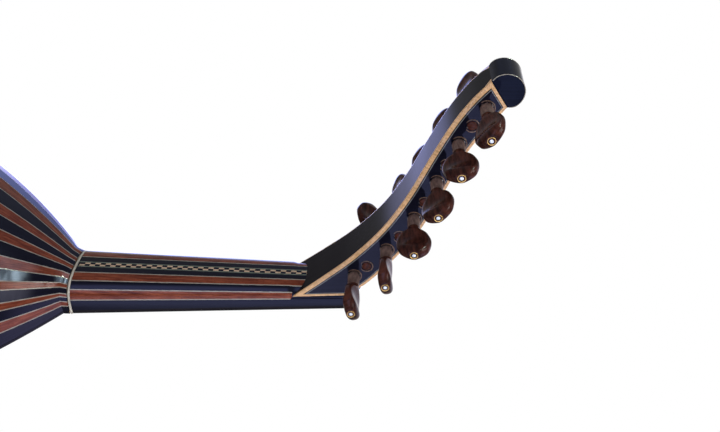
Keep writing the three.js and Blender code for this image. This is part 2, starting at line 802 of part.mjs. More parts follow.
// The outer strings go to the nearest pegs and the inner ones further, so that none crosses another
function pegOrder() {
  const order = [];
  let low = 0;
  let high = nutLanes.length - 1;
  while (low <= high) {
    order.push(low);
    low += 1;
    if (low <= high) {
      order.push(high);
      high -= 1;
    }
  }
  return order;
}

// Points in front of each shaft, where a string passes it
function inFront(peg, distance) {
  const t = peg.rowShare;
  const tangent = pegRow.getTangent(t);
  return new THREE.Vector2(peg.at.x + tangent.y * distance, peg.at.y - tangent.x * distance);
}

pegs.forEach((peg, i) => {
  const step = Math.floor(i / 2);
  peg.rowShare = (step + (i % 2 === 0 ? 0 : farPegShare)) / pegRowSteps;
});

// The shortest way round the front of the shafts between the nut and the string's own peg
function tautRoute(start, pegIndex, radius) {
  const stops = pegs.slice(0, pegIndex).map((peg) => inFront(peg, pegRadius + radius + shaftPassGap));
  const own = pegs[pegIndex];
  stops.push(inFront(own, pegRadius + radius + seatGap));
  const route = [start];
  let from = -1;
  while (from < pegIndex) {
    const here = route[route.length - 1];
    let best = from + 1;
    for (let j = from + 2; j <= pegIndex; j += 1) {
      const a = stops[best].clone().sub(here);
      const b = stops[j].clone().sub(here);
      if (a.x * b.y - a.y * b.x < 0) best = j;
    }
    route.push(stops[best]);
    from = best;
  }
  return route;
}

class StringRoute extends THREE.Curve {
  constructor(points) {
    super();
    this.points = points;
  }

  getPoint(t) {
    const last = this.points.length - 1;
    const place = Math.min(Math.max(t, 0), 1) * last;
    const from = Math.min(Math.floor(place), last - 1);
    return this.points[from].clone().lerp(this.points[from + 1], place - from);
  }

  // At a bend the direction halves the angle, so that both runs keep their thickness
  getTangent(t) {
    const last = this.points.length - 1;
    const place = Math.min(Math.max(t, 0), 1) * last;
    const near = Math.round(place);
    const run = (i) => this.points[i + 1].clone().sub(this.points[i]).normalize();
    if (Math.abs(place - near) > Number.EPSILON * last || near === 0 || near === last) {
      return run(Math.min(Math.floor(place), last - 1));
    }
    return run(near - 1).add(run(near)).normalize();
  }

  getUtoTmapping(u) {
    return u;
  }
}

function makeString(index, pegIndex) {
  const share = index / (nutLanes.length - 1);
  const radius = bassRadius + (trebleRadius - bassRadius) * share;
  // Over the nut's crest and down past its bevelled edge
  const lift = radius + seatGap;
  const slip = lift * (Math.SQRT2 - 1);
  const crest = new THREE.Vector2(nutEnd - nutProud + slip, -nutProud - lift);
  const edge = new THREE.Vector2(nutEnd + lift, -slip);
  const planeRoute = [crest, ...tautRoute(edge, pegIndex, radius)];
  const total = planeRoute.slice(1).reduce((sum, point, i) => sum + point.distanceTo(planeRoute[i]), 0);
  const points = [new THREE.Vector3(
    bridgeLanes[index],
    -bridgeStringHeight,
    bridgeRise + bridgeHalfThickness + seatGap,
  )];
  let run = 0;
  planeRoute.forEach((point, i) => {
    if (i > 0) run += point.distanceTo(planeRoute[i - 1]);
    const lane = nutLanes[index] * (1 + (pegLaneShare - 1) * (run / total));
    points.push(new THREE.Vector3(lane, point.y, bodyLength + point.x));
  });
  const route = new StringRoute(points);
  const section = new THREE.Shape(ringOfPoints(stringSides, radius, 0, 0));
  return closed(new THREE.ExtrudeGeometry(section, {
    steps: points.length - 1,
    bevelEnabled: false,
    extrudePath: route,
  }));
}

pegOrder().forEach((stringIndex, pegIndex) => {
  const wound = stringIndex < 5;
  const name = `string_${String(stringIndex + 1).padStart(2, '0')}`;
  addPart(name, makeString(stringIndex, pegIndex), wound ? woundSilver() : nylon());
});

oud.position.z = hangerDrop - bodyLength - neckLength;

export default oud;
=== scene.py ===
import bpy
import numpy as np
from mathutils import Matrix, Vector


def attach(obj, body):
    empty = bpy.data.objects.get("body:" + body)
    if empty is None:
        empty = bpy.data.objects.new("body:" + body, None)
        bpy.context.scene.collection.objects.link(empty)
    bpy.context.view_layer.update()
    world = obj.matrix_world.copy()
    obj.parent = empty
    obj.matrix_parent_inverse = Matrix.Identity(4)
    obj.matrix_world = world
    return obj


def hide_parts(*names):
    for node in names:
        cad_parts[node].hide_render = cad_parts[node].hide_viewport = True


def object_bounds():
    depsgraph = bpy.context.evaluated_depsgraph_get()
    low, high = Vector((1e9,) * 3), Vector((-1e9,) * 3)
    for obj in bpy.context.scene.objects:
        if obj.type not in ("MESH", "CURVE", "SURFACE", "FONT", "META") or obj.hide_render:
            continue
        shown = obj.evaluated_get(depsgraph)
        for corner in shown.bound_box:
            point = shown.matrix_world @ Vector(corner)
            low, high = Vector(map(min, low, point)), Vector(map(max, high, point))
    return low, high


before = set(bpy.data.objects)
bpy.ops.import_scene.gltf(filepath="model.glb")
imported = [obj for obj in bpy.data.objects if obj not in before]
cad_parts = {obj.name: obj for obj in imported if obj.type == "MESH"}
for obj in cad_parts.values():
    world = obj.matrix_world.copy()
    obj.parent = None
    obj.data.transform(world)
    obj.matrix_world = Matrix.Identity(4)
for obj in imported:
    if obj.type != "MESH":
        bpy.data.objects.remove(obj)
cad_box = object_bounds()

# The camera stands behind the bass side of the neck, level with the nut, and lies on its side: the neck
# runs across the picture, the rounded back is up and the bowl runs out of the frame.
camera_lens = bpy.data.cameras.new("camera")
camera_lens.lens = 44.66
camera_lens.sensor_width = 36
camera_lens.clip_start = 0.01
camera = bpy.data.objects.new("camera", camera_lens)
bpy.context.scene.collection.objects.link(camera)
standing = Vector((-0.513542, 0.420966, 0.054526))
towards_head = Vector((0.0445543, -0.0233412, 0.9987343))
towards_back = Vector((0.5656690, 0.8246108, -0.0059631))
looking = Vector((0.8234279, -0.5652187, -0.0499433))
camera.matrix_world = (Matrix.Translation(standing)
                       @ Matrix((towards_head, towards_back, -looking)).transposed().to_4x4())
bpy.context.scene.camera = camera
bpy.context.scene.view_settings.view_transform = "Standard"


# The room: white all round, as in a product studio. Only what the lens or a polished face sees is pure
# white; the light that falls on the wood from the walls is softer and a little cool.
class Flow:
    """One output in a node tree. Arithmetic on flows adds Math nodes; node() adds any other kind."""

    def __init__(self, tree, socket=None):
        self.tree, self.socket = tree, socket

    def node(self, kind, settings=None, inputs=None, output=0):
        made = self.tree.nodes.new("ShaderNode" + kind)
        for name, value in (settings or {}).items():
            setattr(made, name, value)
        for name, value in (inputs or {}).items():
            if isinstance(value, Flow):
                value.into(made, name)
            else:
                made.inputs[name].default_value = value
        return Flow(self.tree, made.outputs[output])

    def into(self, node, socket):
        self.tree.links.new(self.socket, node.inputs[socket])

    def math(self, operation, *values):
        return self.node("Math", {"operation": operation}, dict(enumerate(values)))

    def __add__(self, other):
        return self.math("ADD", self, other)

    def __sub__(self, other):
        return self.math("SUBTRACT", self, other)

    def __rsub__(self, other):
        return self.math("SUBTRACT", other, self)

    def __mul__(self, other):
        return self.math("MULTIPLY", self, other)

    __radd__ = __add__
    __rmul__ = __mul__

    def fade(self, low, high):
        """0 where the flow is at low, 1 at high, and smooth between."""
        return self.node("MapRange", {"interpolation_type": "SMOOTHSTEP"}, {0: self, 1: low, 2: high})

    def mix(self, first, second):
        """The first colour where this flow is 0, the second where it is 1."""
        ends = [colour if isinstance(colour, Flow) else (*colour, 1) for colour in (first, second)]
        return self.node("Mix", {"data_type": "RGBA"}, {0: self, 6: ends[0], 7: ends[1]}, 2)

    def scaled(self, scale):
        """The places in this flow, times a scale for each axis."""
        return self.node("Mapping", None, {"Vector": self, "Scale": scale})

    def noise(self, scale, detail, **others):
        """Soft noise over the places in this flow."""
        return self.node("TexNoise", None, {"Vector": self, "Scale": scale, "Detail": detail, **others})


world = bpy.data.worlds.new("room")
bpy.context.scene.world = world
world.use_nodes = True
walls = Flow(world.node_tree)
sights = [walls.node("LightPath", output=f"Is {kind} Ray") for kind in ("Camera", "Glossy", "Transmission")]
seen = walls.math("MAXIMUM", walls.math("MAXIMUM", *sights[:2]), sights[2])
wall_light, wall_colour, white = 0.32, (0.90, 0.94, 1.0), (1, 1, 1)
background = world.node_tree.nodes["Background"]
seen.mix(wall_colour, white).into(background, "Color")
(wall_light + seen * (1 - wall_light)).into(background, "Strength")


# The floor: a round pale board just below the tail, which fades out into the white of the room. It glows
# faintly, since the light of the walls alone would leave it grey.
def finish(name, constants, build):
    """A material: its constant sockets, and the flows that build() returns for the sockets that vary."""
    material = bpy.data.materials.new(name)
    material.use_nodes = True
    shader = material.node_tree.nodes["Principled BSDF"]
    for socket, value in constants.items():
        shader.inputs[socket].default_value = value
    for socket, flow in build(Flow(material.node_tree)).items():
        flow.into(shader, socket)
    return material


floor_radius, floor_gap, fade_start, fade_end = 0.9, 0.003, 0.45, 0.98
floor_level = cad_box[0].z - floor_gap


def floor_paint(start):
    place = start.node("TexCoord", output="Object")
    away = start.node("VectorMath", {"operation": "LENGTH"}, {0: place.scaled((1, 1, 0))}, "Value")
    return {"Base Color": place.noise(60.0, 3.0).mix((0.86, 0.87, 0.88), (0.90, 0.90, 0.90)),
            "Alpha": 1 - away.fade(floor_radius * fade_start, floor_radius * fade_end)}


def pack(*columns):
    """Points from their coordinates, each a number or an array, all stretched to one shape."""
    return np.stack(np.broadcast_arrays(*columns), -1)


def lift(flat, level):
    """Flat points raised to a level, or to a level each."""
    return pack(flat[..., 0], flat[..., 1], level)


def full_turn(steps):
    """Angles at equal steps once round, without the last, which would be the first again."""
    return np.linspace(0, 2 * np.pi, steps, endpoint=False)


def circle(middle, radius, turn):
    """Flat points round a middle, at given radii and angles."""
    return np.asarray(middle) + np.asarray(radius)[..., None] * pack(np.cos(turn), np.sin(turn))


def disc(radius, level, rings=24, spokes=96):
    """A flat disc: rings at equal steps of radius and spokes at equal angles round its middle."""
    radii = np.linspace(0, radius, rings + 1)[1:, None]
    edge = lift(circle((0, 0), radii, full_turn(spokes)), level)
    points = np.concatenate([[[0, 0, level]], edge.reshape(-1, 3)])
    ring, spoke = np.meshgrid(np.arange(rings - 1), np.arange(spokes), indexing="ij")
    here, beside = 1 + ring * spokes + spoke, 1 + ring * spokes + (spoke + 1) % spokes
    quads = pack(here, here + spokes, beside + spokes, beside).reshape(-1, 4)
    middle = [(0, 1 + k, 1 + (k + 1) % spokes) for k in range(spokes)]
    return points, quads.tolist() + middle


floor_points, floor_faces = disc(floor_radius, floor_level)
floor_mesh = bpy.data.meshes.new("floor")
floor_mesh.from_pydata(floor_points.tolist(), [], floor_faces)
floor_mesh.materials.append(finish("floor", {
    "Roughness": 0.8, "Specular IOR Level": 0.0, "Emission Color": (*white, 1), "Emission Strength": 0.2},
    floor_paint))
floor = bpy.data.objects.new("floor", floor_mesh)
bpy.context.scene.collection.objects.link(floor)

# Lamps: five soft boxes light the wood. The others are far windows, bright walls and dim screens that only
# the polish mirrors: they fade out towards their edges, and the windows have clouds in them. Each has its
# place, size, brightness and colour, and a mirrored one the share of its light that clouds take away.
boxes = {
    "sky_panel": ((1.5, 1.9, -0.1), (1.6, 1.8), 0.1, (0.84, 0.89, 1.0)),
    "side_box": ((-1.7, 0.3, 0.6), (1.1, 1.3), 4.6, (0.88, 0.90, 1.0)),
    "front_box": ((-0.7, -2.0, 0.8), (1.4, 1.4), 1.8, (1.0, 0.98, 0.95)),
    "far_box": ((1.9, -0.9, 0.9), (1.2, 1.2), 0.4, (1.0, 0.99, 0.97)),
    "top_box": ((-0.7, 1.9, 0.6), (0.9, 0.7), 0.9, (1.0, 0.96, 0.93)),
}
mirrored = {
    "window": ((0.170, 1.25, 0.87), (0.70, 0.77), 235.0, (0.80, 1.0, 0.78), 0.9),
    "window_left": ((-0.26, 0.62, 1.27), (0.80, 0.88), 38.0, (1.0, 0.96, 0.82), 0.3),
    "window_right": ((0.62, 1.22, 0.72), (0.70, 0.62), 18.0, (0.80, 0.88, 1.0), 0.3),
    "side_glow": ((-1.6, -0.35, -0.1), (2.4, 2.1), 9.5, (0.64, 0.70, 1.0), 0.0),
    "rear_glow": ((-0.85, 1.32, -0.38), (2.1, 1.3), 12.0, (0.64, 0.70, 1.0), 0.0),
    "head_glow": ((-0.52, -0.66, 1.06), (1.2, 1.1), 8.0, (0.72, 0.68, 1.0), 0.0),
    "edge_glow": ((1.45, -0.33, -0.20), (1.45, 1.05), 3.0, (0.16, 0.26, 1.0), 0.0),
    "back_glow": ((1.45, -0.54, -0.70), (1.00, 0.80), 3.5, (0.46, 0.48, 0.95), 0.0),
    "peg_glow": ((1.06, -0.72, 0.96), (1.7, 1.6), 0.75, (0.60, 0.52, 1.0), 0.0),
    "upper_screen": ((1.35, 0.85, 0.22), (1.4, 1.6), 0.5, (0.30, 0.45, 1.0), 0.0),
    "foot_screen": ((1.40, 0.22, -0.88), (0.9, 0.7), 0.25, (0.55, 0.45, 1.0), 0.0),
}
bowl_middle = Vector((0, 0.06, -0.15))
for name, (place, size, brightness, colour, *cloud) in {**boxes, **mirrored}.items():
    lamp = bpy.data.lights.new(name, "AREA")
    lamp.shape, lamp.size, lamp.size_y = "RECTANGLE", *size
    lamp.energy = brightness * np.pi * size[0] * size[1]
    lamp.color = colour
    lamp_object = bpy.data.objects.new(name, lamp)
    lamp_object.location = place
    lamp_object.rotation_mode = "QUATERNION"
    lamp_object.rotation_quaternion = (bowl_middle - Vector(place)).to_track_quat("-Z", "Y")
    lamp_object.visible_camera = False
    bpy.context.scene.collection.objects.link(lamp_object)
    if cloud:
        lamp_object.visible_diffuse = False
        lamp.use_nodes = True
        pane = Flow(lamp.node_tree).node("NewGeometry", output="Parametric")
        away = pane.node("VectorMath", {"operation": "DISTANCE"}, {0: pane, 1: (0.5, 0.5, 0)}, "Value")
        puffs = pane.noise(9.0, 5.0, Roughness=0.65).fade(0.38, 0.60)
        glow = (1 - away.fade(0.22, 0.5)) * (1 - cloud[0] + puffs * cloud[0])
        glow.into(lamp.node_tree.nodes["Emission"], "Strength")

# The ribs: 21 thin staves of black and red-brown wood in turn, bent over a mould and glued edge to edge.
# Each is flat across and curved along, tapers to both ends, and is lacquered to a mirror gloss. Lengths are
# in millimetres from here on: a run is a distance up from the joint of bowl and neck, a drop one down.
joint_level = -188.0
body_length, widest_drop, deepest_drop, shoulder_flat = 490.0, 335.0, 315.0, 5.0
body_half_width, body_depth, rim_depth = 180.0, 178.0, 2.3
joint_half_width, joint_depth = 28.0, 24.3
outline_power, depth_power = 2.82, 1.7
tail_power, joint_power_rise, power_fade = 2.05, 0.95, 60.0
rib_thickness, purfling_width, rim_rib_share, even_drop = 3.0, 0.7, 1.17, 170.0
# Where the ribs of one side meet near the joint, as shares of the section's length from the rim
joint_edges = np.array([0.0545, 0.098, 0.141, 0.1695, 0.2185, 0.254, 0.304, 0.3578, 0.4218, 0.4695])
tail_eye_half_width = 18.0


def unit(vectors):
    """Vectors made one long."""
    return vectors / np.linalg.norm(vectors, axis=-1, keepdims=True)


def run_along(points):
    """Distances along a line of points from its first."""
    return np.concatenate([[0], np.cumsum(np.linalg.norm(np.diff(points, axis=0), axis=1))])


def arch(half_widths, base, depths, powers, shares):
    """Arches that stand on the rim, one for each station, as x and y at shares of their length, and those
    lengths: over half a turn, x = -half width * cos and y = base + rise * sin, both to the power
    2 / roundness, signs kept. One power and one row of shares can do for all."""
    turn = np.linspace(0, np.pi, 3001)
    cos, sin = np.cos(turn), np.clip(np.sin(turn), 0, 1)
    count = len(half_widths)
    powers, shares = np.broadcast_to(powers, count), np.broadcast_to(shares, (count, np.shape(shares)[-1]))
    points, lengths = [], []
    for half, depth, power, share in zip(half_widths, depths, powers, shares):
        x = -half * np.sign(cos) * np.abs(cos) ** (2 / power)
        y = base + (depth - base) * sin ** (2 / power)
        run = run_along(pack(x, y))
        points.append(pack(np.interp(share * run[-1], run, x), np.interp(share * run[-1], run, y)))
        lengths.append(run[-1])
    return np.array(points), np.array(lengths)


def outline(drops):
    """Half the body's width at distances below the neck joint: full width less a power of the way left to
    the widest place above it, and a quarter of an ellipse below it."""
    above = 1 - np.clip(drops - shoulder_flat, 0, None) / (widest_drop - shoulder_flat)
    upper = body_half_width - (body_half_width - joint_half_width) * np.clip(above, 0, 1) ** outline_power
    below = np.clip((drops - widest_drop) / (body_length - widest_drop), 0, 1)
    return np.where(drops > widest_drop, body_half_width * np.sqrt(1 - below ** 2), upper)


def tail_drop(half_widths):
    """Where the tail has a half width: the outline's quarter ellipse, read the other way."""
    return widest_drop + (body_length - widest_drop) * np.sqrt(1 - (half_widths / body_half_width) ** 2)


def bowl(drops, shares):
    """Points of the bowl's skin, [station, share, xyz], and its arches' lengths: the arches are as wide as
    the outline, rise to the depth curve, and are squarer near the neck joint than further down."""
    above = np.clip(1 - drops / deepest_drop, 0, 1)
    below = np.clip((drops - deepest_drop) / (body_length - deepest_drop), 0, 1)
    depths = np.where(drops > deepest_drop, body_depth * np.sqrt(1 - below ** 2),
                      body_depth - (body_depth - joint_depth) * above ** depth_power)
    powers = tail_power + joint_power_rise * np.exp(-drops / power_fade)
    flat, lengths = arch(outline(drops), rim_depth, np.maximum(depths, rim_depth), powers, shares)
    return lift(flat, (joint_level - drops)[:, None]), lengths


def bowl_outwards(drops, shares):
    """Unit vectors out of the bowl's skin: the way round it crossed with the way down it."""
    step, dip = 0.002, 0.05
    round_it = bowl(drops, np.minimum(shares + step, 1))[0] - bowl(drops, np.maximum(shares - step, 0))[0]
    down_it = bowl(drops + dip, shares)[0] - bowl(np.maximum(drops - dip, 0), shares)[0]
    return unit(np.cross(round_it, down_it))


def outward(points, faces, triangles):
    """The faces, all turned over if they look inwards: the triple products of the triangles' corners add up
    to six times the volume, with its sign."""
    corners = points[triangles]
    volume = np.einsum("ij,ij->", corners[:, 0], np.cross(corners[:, 1], corners[:, 2]))
    return [face[::-1] for face in faces] if volume < 0 else faces


def skin(rings, grain=None, loop=False, tone=0):
    """A closed shell through rings of equally many points, [ring, point, xyz]: quads round and along, and a
    flat face at each end unless the rings close on themselves. grain holds each point's place across and
    along the wood; tone is the number of the finish."""
    count, size = rings.shape[:2]
    if grain is None:
        grain = np.zeros((count, size, 2))
    ring, place = np.meshgrid(np.arange(count if loop else count - 1), np.arange(size), indexing="ij")
    ahead, beside = (ring + 1) % count, (place + 1) % size
    quads = pack(ring * size + place, ring * size + beside, ahead * size + beside, ahead * size + place)
    quads = quads.reshape(-1, 4)
    ends = [] if loop else [np.arange(size)[::-1], np.arange(size) + (count - 1) * size]
    fans = [quads[:, :3], quads[:, [0, 2, 3]], *(pack(end[0], end[1:-1], end[2:]) for end in ends)]
    points = rings.reshape(-1, 3)
    faces = [*quads.tolist(), *(end.tolist() for end in ends)]
    return points, outward(points, faces, np.concatenate(fans)), grain.reshape(-1, 2), tone


def piece(name, shells, finishes, replaces=None, body="root", crease=32):
    """Joins shells into one mesh in metres, smooth but for edges sharper than crease degrees, with its wood
    grain in a UV map, and hangs it on its body."""
    starts = np.cumsum([0] + [len(shell[0]) for shell in shells])
    points, grain = (np.concatenate([shell[k] for shell in shells]) * 0.001 for k in (0, 2))
    faces = [[corner + start for corner in face] for shell, start in zip(shells, starts.tolist())
             for face in shell[1]]
    mesh = bpy.data.meshes.new(name)
    mesh.from_pydata(points.tolist(), [], faces)
    tones = np.repeat([shell[3] for shell in shells], [len(shell[1]) for shell in shells])
    mesh.polygons.foreach_set("material_index", tones.astype(np.int32))
    corner = np.empty(len(mesh.loops), np.int32)
    mesh.loops.foreach_get("vertex_index", corner)
    mesh.uv_layers.new(name="grain").data.foreach_set("uv", grain[corner].astype(np.float32).ravel())
    mesh.shade_smooth()
    mesh.set_sharp_from_angle(angle=np.radians(crease))
    for material in finishes:
        mesh.materials.append(material)
    made = bpy.data.objects.new(name, mesh)
    bpy.context.scene.collection.objects.link(made)
    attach(made, body)
    if replaces:
        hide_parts(replaces)


def wood(name, dark, pale, constants, streak=(0.0011, 0.030), pore=0.35, wave=0.00002, shine=(0.03, 0.06),
         own_map=True):
    """Straight-grained wood under a clear finish: soft streaks along the grain, short dark pores, and a
    broad waviness in the finish. streak is a streak's width and length in metres, shine the roughness where
    the finish is best and worst; the grain runs as the piece's own map says, or else up the instrument."""
    def build(start):
        whole = start.node("TexCoord", output="Object")
        place = start.node("UVMap", {"uv_map": "grain"}) if own_map else whole

        def stretched(finer, longer, detail):
            fine, long = finer / streak[0], longer / streak[1]
            moved = place.scaled((fine, long, 1) if own_map else (fine, fine, long))
            return moved.noise(1.0, detail, Roughness=0.55, Distortion=0.15)
        figure = stretched(1, 1, 5.0).fade(0.3, 0.72)
        broad = stretched(0.14, 0.35, 2.0).fade(0.25, 0.75)
        pores = stretched(2.6, 5.5, 1.0).fade(0.60, 0.72) * pore
        tint = (figure * 0.6 + broad * 0.4).mix(dark, pale)
        worn = stretched(0.08, 0.25, 3.0)
        height = whole.noise(42.0, 2.0) + pores * -0.05
        bump = start.node("Bump", None, {"Strength": 1.0, "Distance": wave, "Height": height})
        return {"Base Color": pores.mix(tint, tuple(channel * 0.35 for channel in dark)),
                "Roughness": shine[0] + worn * (shine[1] - shine[0]), "Normal": bump}
    return finish(name, constants, build)


# The lacquered ebony's blue cast is a painted blue sky reflection: a little blue in its colour, and the
# blue specular tint of its polish, which the satin ebony shares. The wood itself is black.
ebony_polish_blue_sheen = {"IOR": 1.13, "Specular Tint": (0.62, 0.64, 1.0, 1)}
# The red polish's lilac specular tint paints a lilac cast into the padauk's reflections.
red_polish_lilac_sheen = {"IOR": 1.13, "Specular Tint": (1.0, 0.88, 1.0, 1)}
ebony_lacquered = wood("ebony_lacquered", (0.0045, 0.0045, 0.0095), (0.0085, 0.0085, 0.018), ebony_polish_blue_sheen,
                       pore=0.2)
padauk_lacquered = wood("padauk_lacquered", (0.080, 0.012, 0.006), (0.34, 0.086, 0.040), red_polish_lilac_sheen,
                        streak=(0.0014, 0.014), pore=0.55)

# Stations crowd towards the tail. On the way down, the rib edges go over from the joint's places to even
# ones
crowding = np.sin(np.pi / 2 * np.linspace(0, 1, 110))
rib_drops = np.concatenate([[0.3, 1.6, 3.2],
                            shoulder_flat + (tail_drop(tail_eye_half_width) - shoulder_flat) * crowding])
rib_count = 2 * len(joint_edges) + 1
even_edges = (rim_rib_share + np.arange(len(joint_edges))) / (rib_count - 2 + 2 * rim_rib_share)
evened = 1 - np.exp(-(rib_drops[:, None] / even_drop) ** 4)
side_edges = joint_edges + (even_edges - joint_edges) * evened
rib_edges = np.concatenate([side_edges, 1 - side_edges[:, ::-1]], 1)
half_gap = purfling_width / 2 / bowl(rib_drops, [0.0, 1.0])[1][:, None]
inner_edges = pack(rib_edges - half_gap, rib_edges + half_gap).reshape(len(rib_drops), -1)
rib_shares = np.concatenate([np.zeros_like(half_gap), inner_edges, np.ones_like(half_gap)], 1)
bowl_skin = bowl(rib_drops, rib_shares)[0]
bowl_out = bowl_outwards(rib_drops, rib_shares)
down_bowl = run_along(bowl_skin[:, 2 * len(joint_edges)])[:, None]


def stave(edge, depth, proud):
    """Sections of the bowl from one edge to the next, from a depth under its skin to a height over it."""
    low, high = bowl_skin[:, edge], bowl_skin[:, edge + 1]
    low_out, high_out = bowl_out[:, edge], bowl_out[:, edge + 1]
    return np.stack([low - depth * low_out, high - depth * high_out,
                     high + proud * high_out, low + proud * low_out], 1)


random = np.random.default_rng(7)
rib_apart, log_length = 371.0, 900
for number in range(rib_count):
    rings = stave(2 * number, rib_thickness, 0)
    half = np.linalg.norm(rings[:, 2] - rings[:, 3], axis=1)[:, None] / 2
    grain = pack(half * (-1, 1, 1, -1) + number * rib_apart, down_bowl + random.uniform(0, log_length))
    lacquer, slot = ((padauk_lacquered, "padauk_lacquered") if number % 2
                     else (ebony_lacquered, "ebony_lacquered"))
    piece(f"bent_rib_{number + 1:02d}", [skin(rings, grain)], [lacquer], f"rib_{number + 1:02d}")


# The purflings: a thin pale maple line is glued between each two ribs, and scraped flush before the bowl is
# lacquered.
def pale_line(name, dark, pale, tick):
    """Pale wood with a faint figure of ticks across it. tick is the distance between them in metres."""
    def build(start):
        place = start.node("UVMap", {"uv_map": "grain"})
        ticks = place.scaled((900, 1 / tick, 1)).noise(1.0, 2.0).fade(0.35, 0.65)
        fibres = place.scaled((2500, 60, 1)).noise(1.0, 3.0)
        return {"Base Color": (ticks * 0.5 + fibres * 0.5).mix(dark, pale),
                "Roughness": 0.05 + fibres * 0.06}
    return finish(name, {"IOR": 1.15}, build)


purfling_maple = pale_line("purfling_maple", (0.25, 0.22, 0.18), (0.48, 0.43, 0.36), 0.004)
purfling_depth, purfling_proud = 1.6, 0.03
purflings = []
for number in range(rib_count - 1):
    grain = pack(purfling_width * np.array([0, 1, 1, 0]) + number * 5, down_bowl)
    purflings.append(skin(stave(2 * number + 1, purfling_depth, purfling_proud), grain))
piece("rib_purflings", purflings, [purfling_maple])

# The joint ring: a pale band of maple bent round the section where bowl and neck meet, and glued on. It
# stands a little proud, with its edges eased.
neck_length, neck_nut_width, neck_nut_depth, neck_power = 200.0, 38.0, 16.7, 3.0
ring_start, ring_thickness, ring_proud, ring_easing, ring_points = 0.3, 1.6, 0.4, 0.3, 121


def neck_half(runs):
    """Half the neck's width: straight from the joint's to the nut's."""
    return joint_half_width + (neck_nut_width / 2 - joint_half_width) * runs / neck_length


def neck_depth(runs):
    """The neck's depth behind the fingerboard's face: straight from the joint's to the nut's."""
    return joint_depth + (neck_nut_depth - joint_depth) * runs / neck_length


ring_steps = ring_thickness * np.array([0, 0.05, 0.15, 0.3, 0.7, 0.85, 0.95, 1.0])
ring_height = ring_proud - ring_easing * np.array([1, 0.6, 0.2, 0, 0, 0.2, 0.6, 1.0])
ring_runs = ring_start + ring_steps
ring_arch, _ = arch(neck_half(ring_runs) + ring_height, 0.0, neck_depth(ring_runs) + ring_height,
                    neck_power, np.linspace(0, 1, ring_points))
ring_grain = pack(ring_steps[:, None], np.linspace(0, 80, ring_points))
ring_maple = pale_line("ring_maple", (0.50, 0.45, 0.36), (0.72, 0.66, 0.55), 0.005)
piece("neck_joint_ring", [skin(lift(ring_arch, (joint_level + ring_runs)[:, None]), ring_grain)],
      [ring_maple], "joint_ring")

# The neck: a softwood core faced with lengthwise strips of ebony and padauk, set off by pale lines, and in
# the middle a chequered inlay between two lines. Its end runs into the pegbox, whose back rises over it.
veneer, neck_base, core_sink, seat_gap, line_proud, arc_step = 0.9, 3.3, 0.5, 0.4, 0.02, 0.8
strip_start, strip_end, neck_end, past_edge = 2.2, 175.0, 199.7, 45.0
pegbox_foot, pegbox_seat, pegbox_run, pegbox_rise = 162.0, 10.8, 133.3, 166.4
pegbox_foot_width, pegbox_taper = 38.8, 0.05409
tuck_gap, tuck_lead, tuck_run = 0.15, 2, 3
# Distances round the section from its ridge, at the joint and 155 mm up the neck
line_places = {2.2: (9.3, 17.4, 24.6, 32.45), 155.0: (8.03, 13.9, 19.2, 24.2)}
line_width, chequer_half, chequer_line = 0.75, 2.1, 1.0


def smooth(way):
    """From 0 to 1 with level ends: three times the square less twice the cube."""
    way = np.clip(way, 0, 1)
    return way * way * (3 - 2 * way)


def right_of(flat):
    """Flat vectors turned a quarter turn to the right."""
    return pack(flat[..., 1], -flat[..., 0])


def cheek_outer(runs):
    """Half the pegbox's width outside its cheeks: it narrows evenly towards the head."""
    return pegbox_foot_width / 2 - pegbox_taper * (runs - pegbox_foot)


def neck_skin(runs, arcs, sink=0.0, tucked=True):
    """Points on the neck, [run, arc, xyz]: arcs are distances round the section from its ridge, sunk along
    the section's own normal. Past the pegbox's foot a tucked section draws in between the cheeks."""
    runs = np.asarray(runs, float)
    half = neck_half(runs)
    if tucked:
        half = half + (np.minimum(cheek_outer(runs) - tuck_gap, half) - half) * smooth(
            (runs - pegbox_foot + tuck_lead) / tuck_run)
    section = half, neck_base, neck_depth(runs), neck_power
    shares = np.clip(0.5 + arcs / arch(*section, [0.5])[1][:, None], 0, 1)
    step = 0.0015
    at, ahead, behind = (arch(*section, np.clip(shares + way, 0, 1))[0] for way in (0, step, -step))
    out = -right_of(unit(ahead - behind))
    return lift(at - np.asarray(sink)[..., None] * out, (joint_level + runs)[:, None])


def strip(runs, low, high, proud=0.0, tone=0, tucked=True):
    """A strip of veneer let into the neck's skin between two arcs, each a number or one for each run."""
    runs = np.asarray(runs, float)
    low, high = (np.broadcast_to(edge, runs.shape)[:, None] for edge in
                 (np.minimum(low, high), np.maximum(low, high)))
    share = np.linspace(0, 1, max(3, int(np.ceil((high - low).max() / arc_step)) + 1))
    arcs = low + (high - low) * np.concatenate([share, share[::-1]])
    sink = np.repeat([-proud, veneer], len(share))
    return skin(neck_skin(runs, arcs, sink, tucked), pack(arcs, runs[:, None]), tone=tone)


def line_place(number, runs):
    """The middle of a pale line, straight along the neck between its two measured places."""
    (near, at_near), (far, at_far) = ((run, places[number]) for run, places in line_places.items())
    return at_near + (at_far - at_near) * (runs - near) / (far - near)


strip_runs = np.concatenate([np.linspace(strip_start, 158, 14), np.linspace(160, strip_end, 12)])
edge_runs = np.append(strip_runs[:14], pegbox_foot - 1)
end_runs = np.linspace(pegbox_foot - 1, neck_end, 6)
neck_ebony, neck_padauk, neck_lines, chequer_borders = [], [], [], []
for side in (-1, 1):
    edges = [np.full_like(strip_runs, chequer_half + chequer_line)]
    for number in range(4):
        middle = line_place(number, strip_runs)
        edges += [middle - line_width / 2, middle + line_width / 2]
    groups = [neck_ebony, neck_lines, neck_padauk, neck_lines] * 2
    for group, low, high in zip(groups, edges, edges[1:]):
        group.append(strip(strip_runs, side * low, side * high, line_proud * (group is neck_lines)))
    chequer_borders.append(strip(strip_runs, side * chequer_half, side * (chequer_half + chequer_line),
                                 line_proud))
    # The wide black edge runs on under the cheeks as far as the nut
    neck_ebony.append(strip(edge_runs, side * (line_place(3, edge_runs) + line_width / 2), side * past_edge,
                            tucked=False))
    neck_ebony.append(strip(end_runs, side * line_place(3, end_runs), side * past_edge, tucked=False))

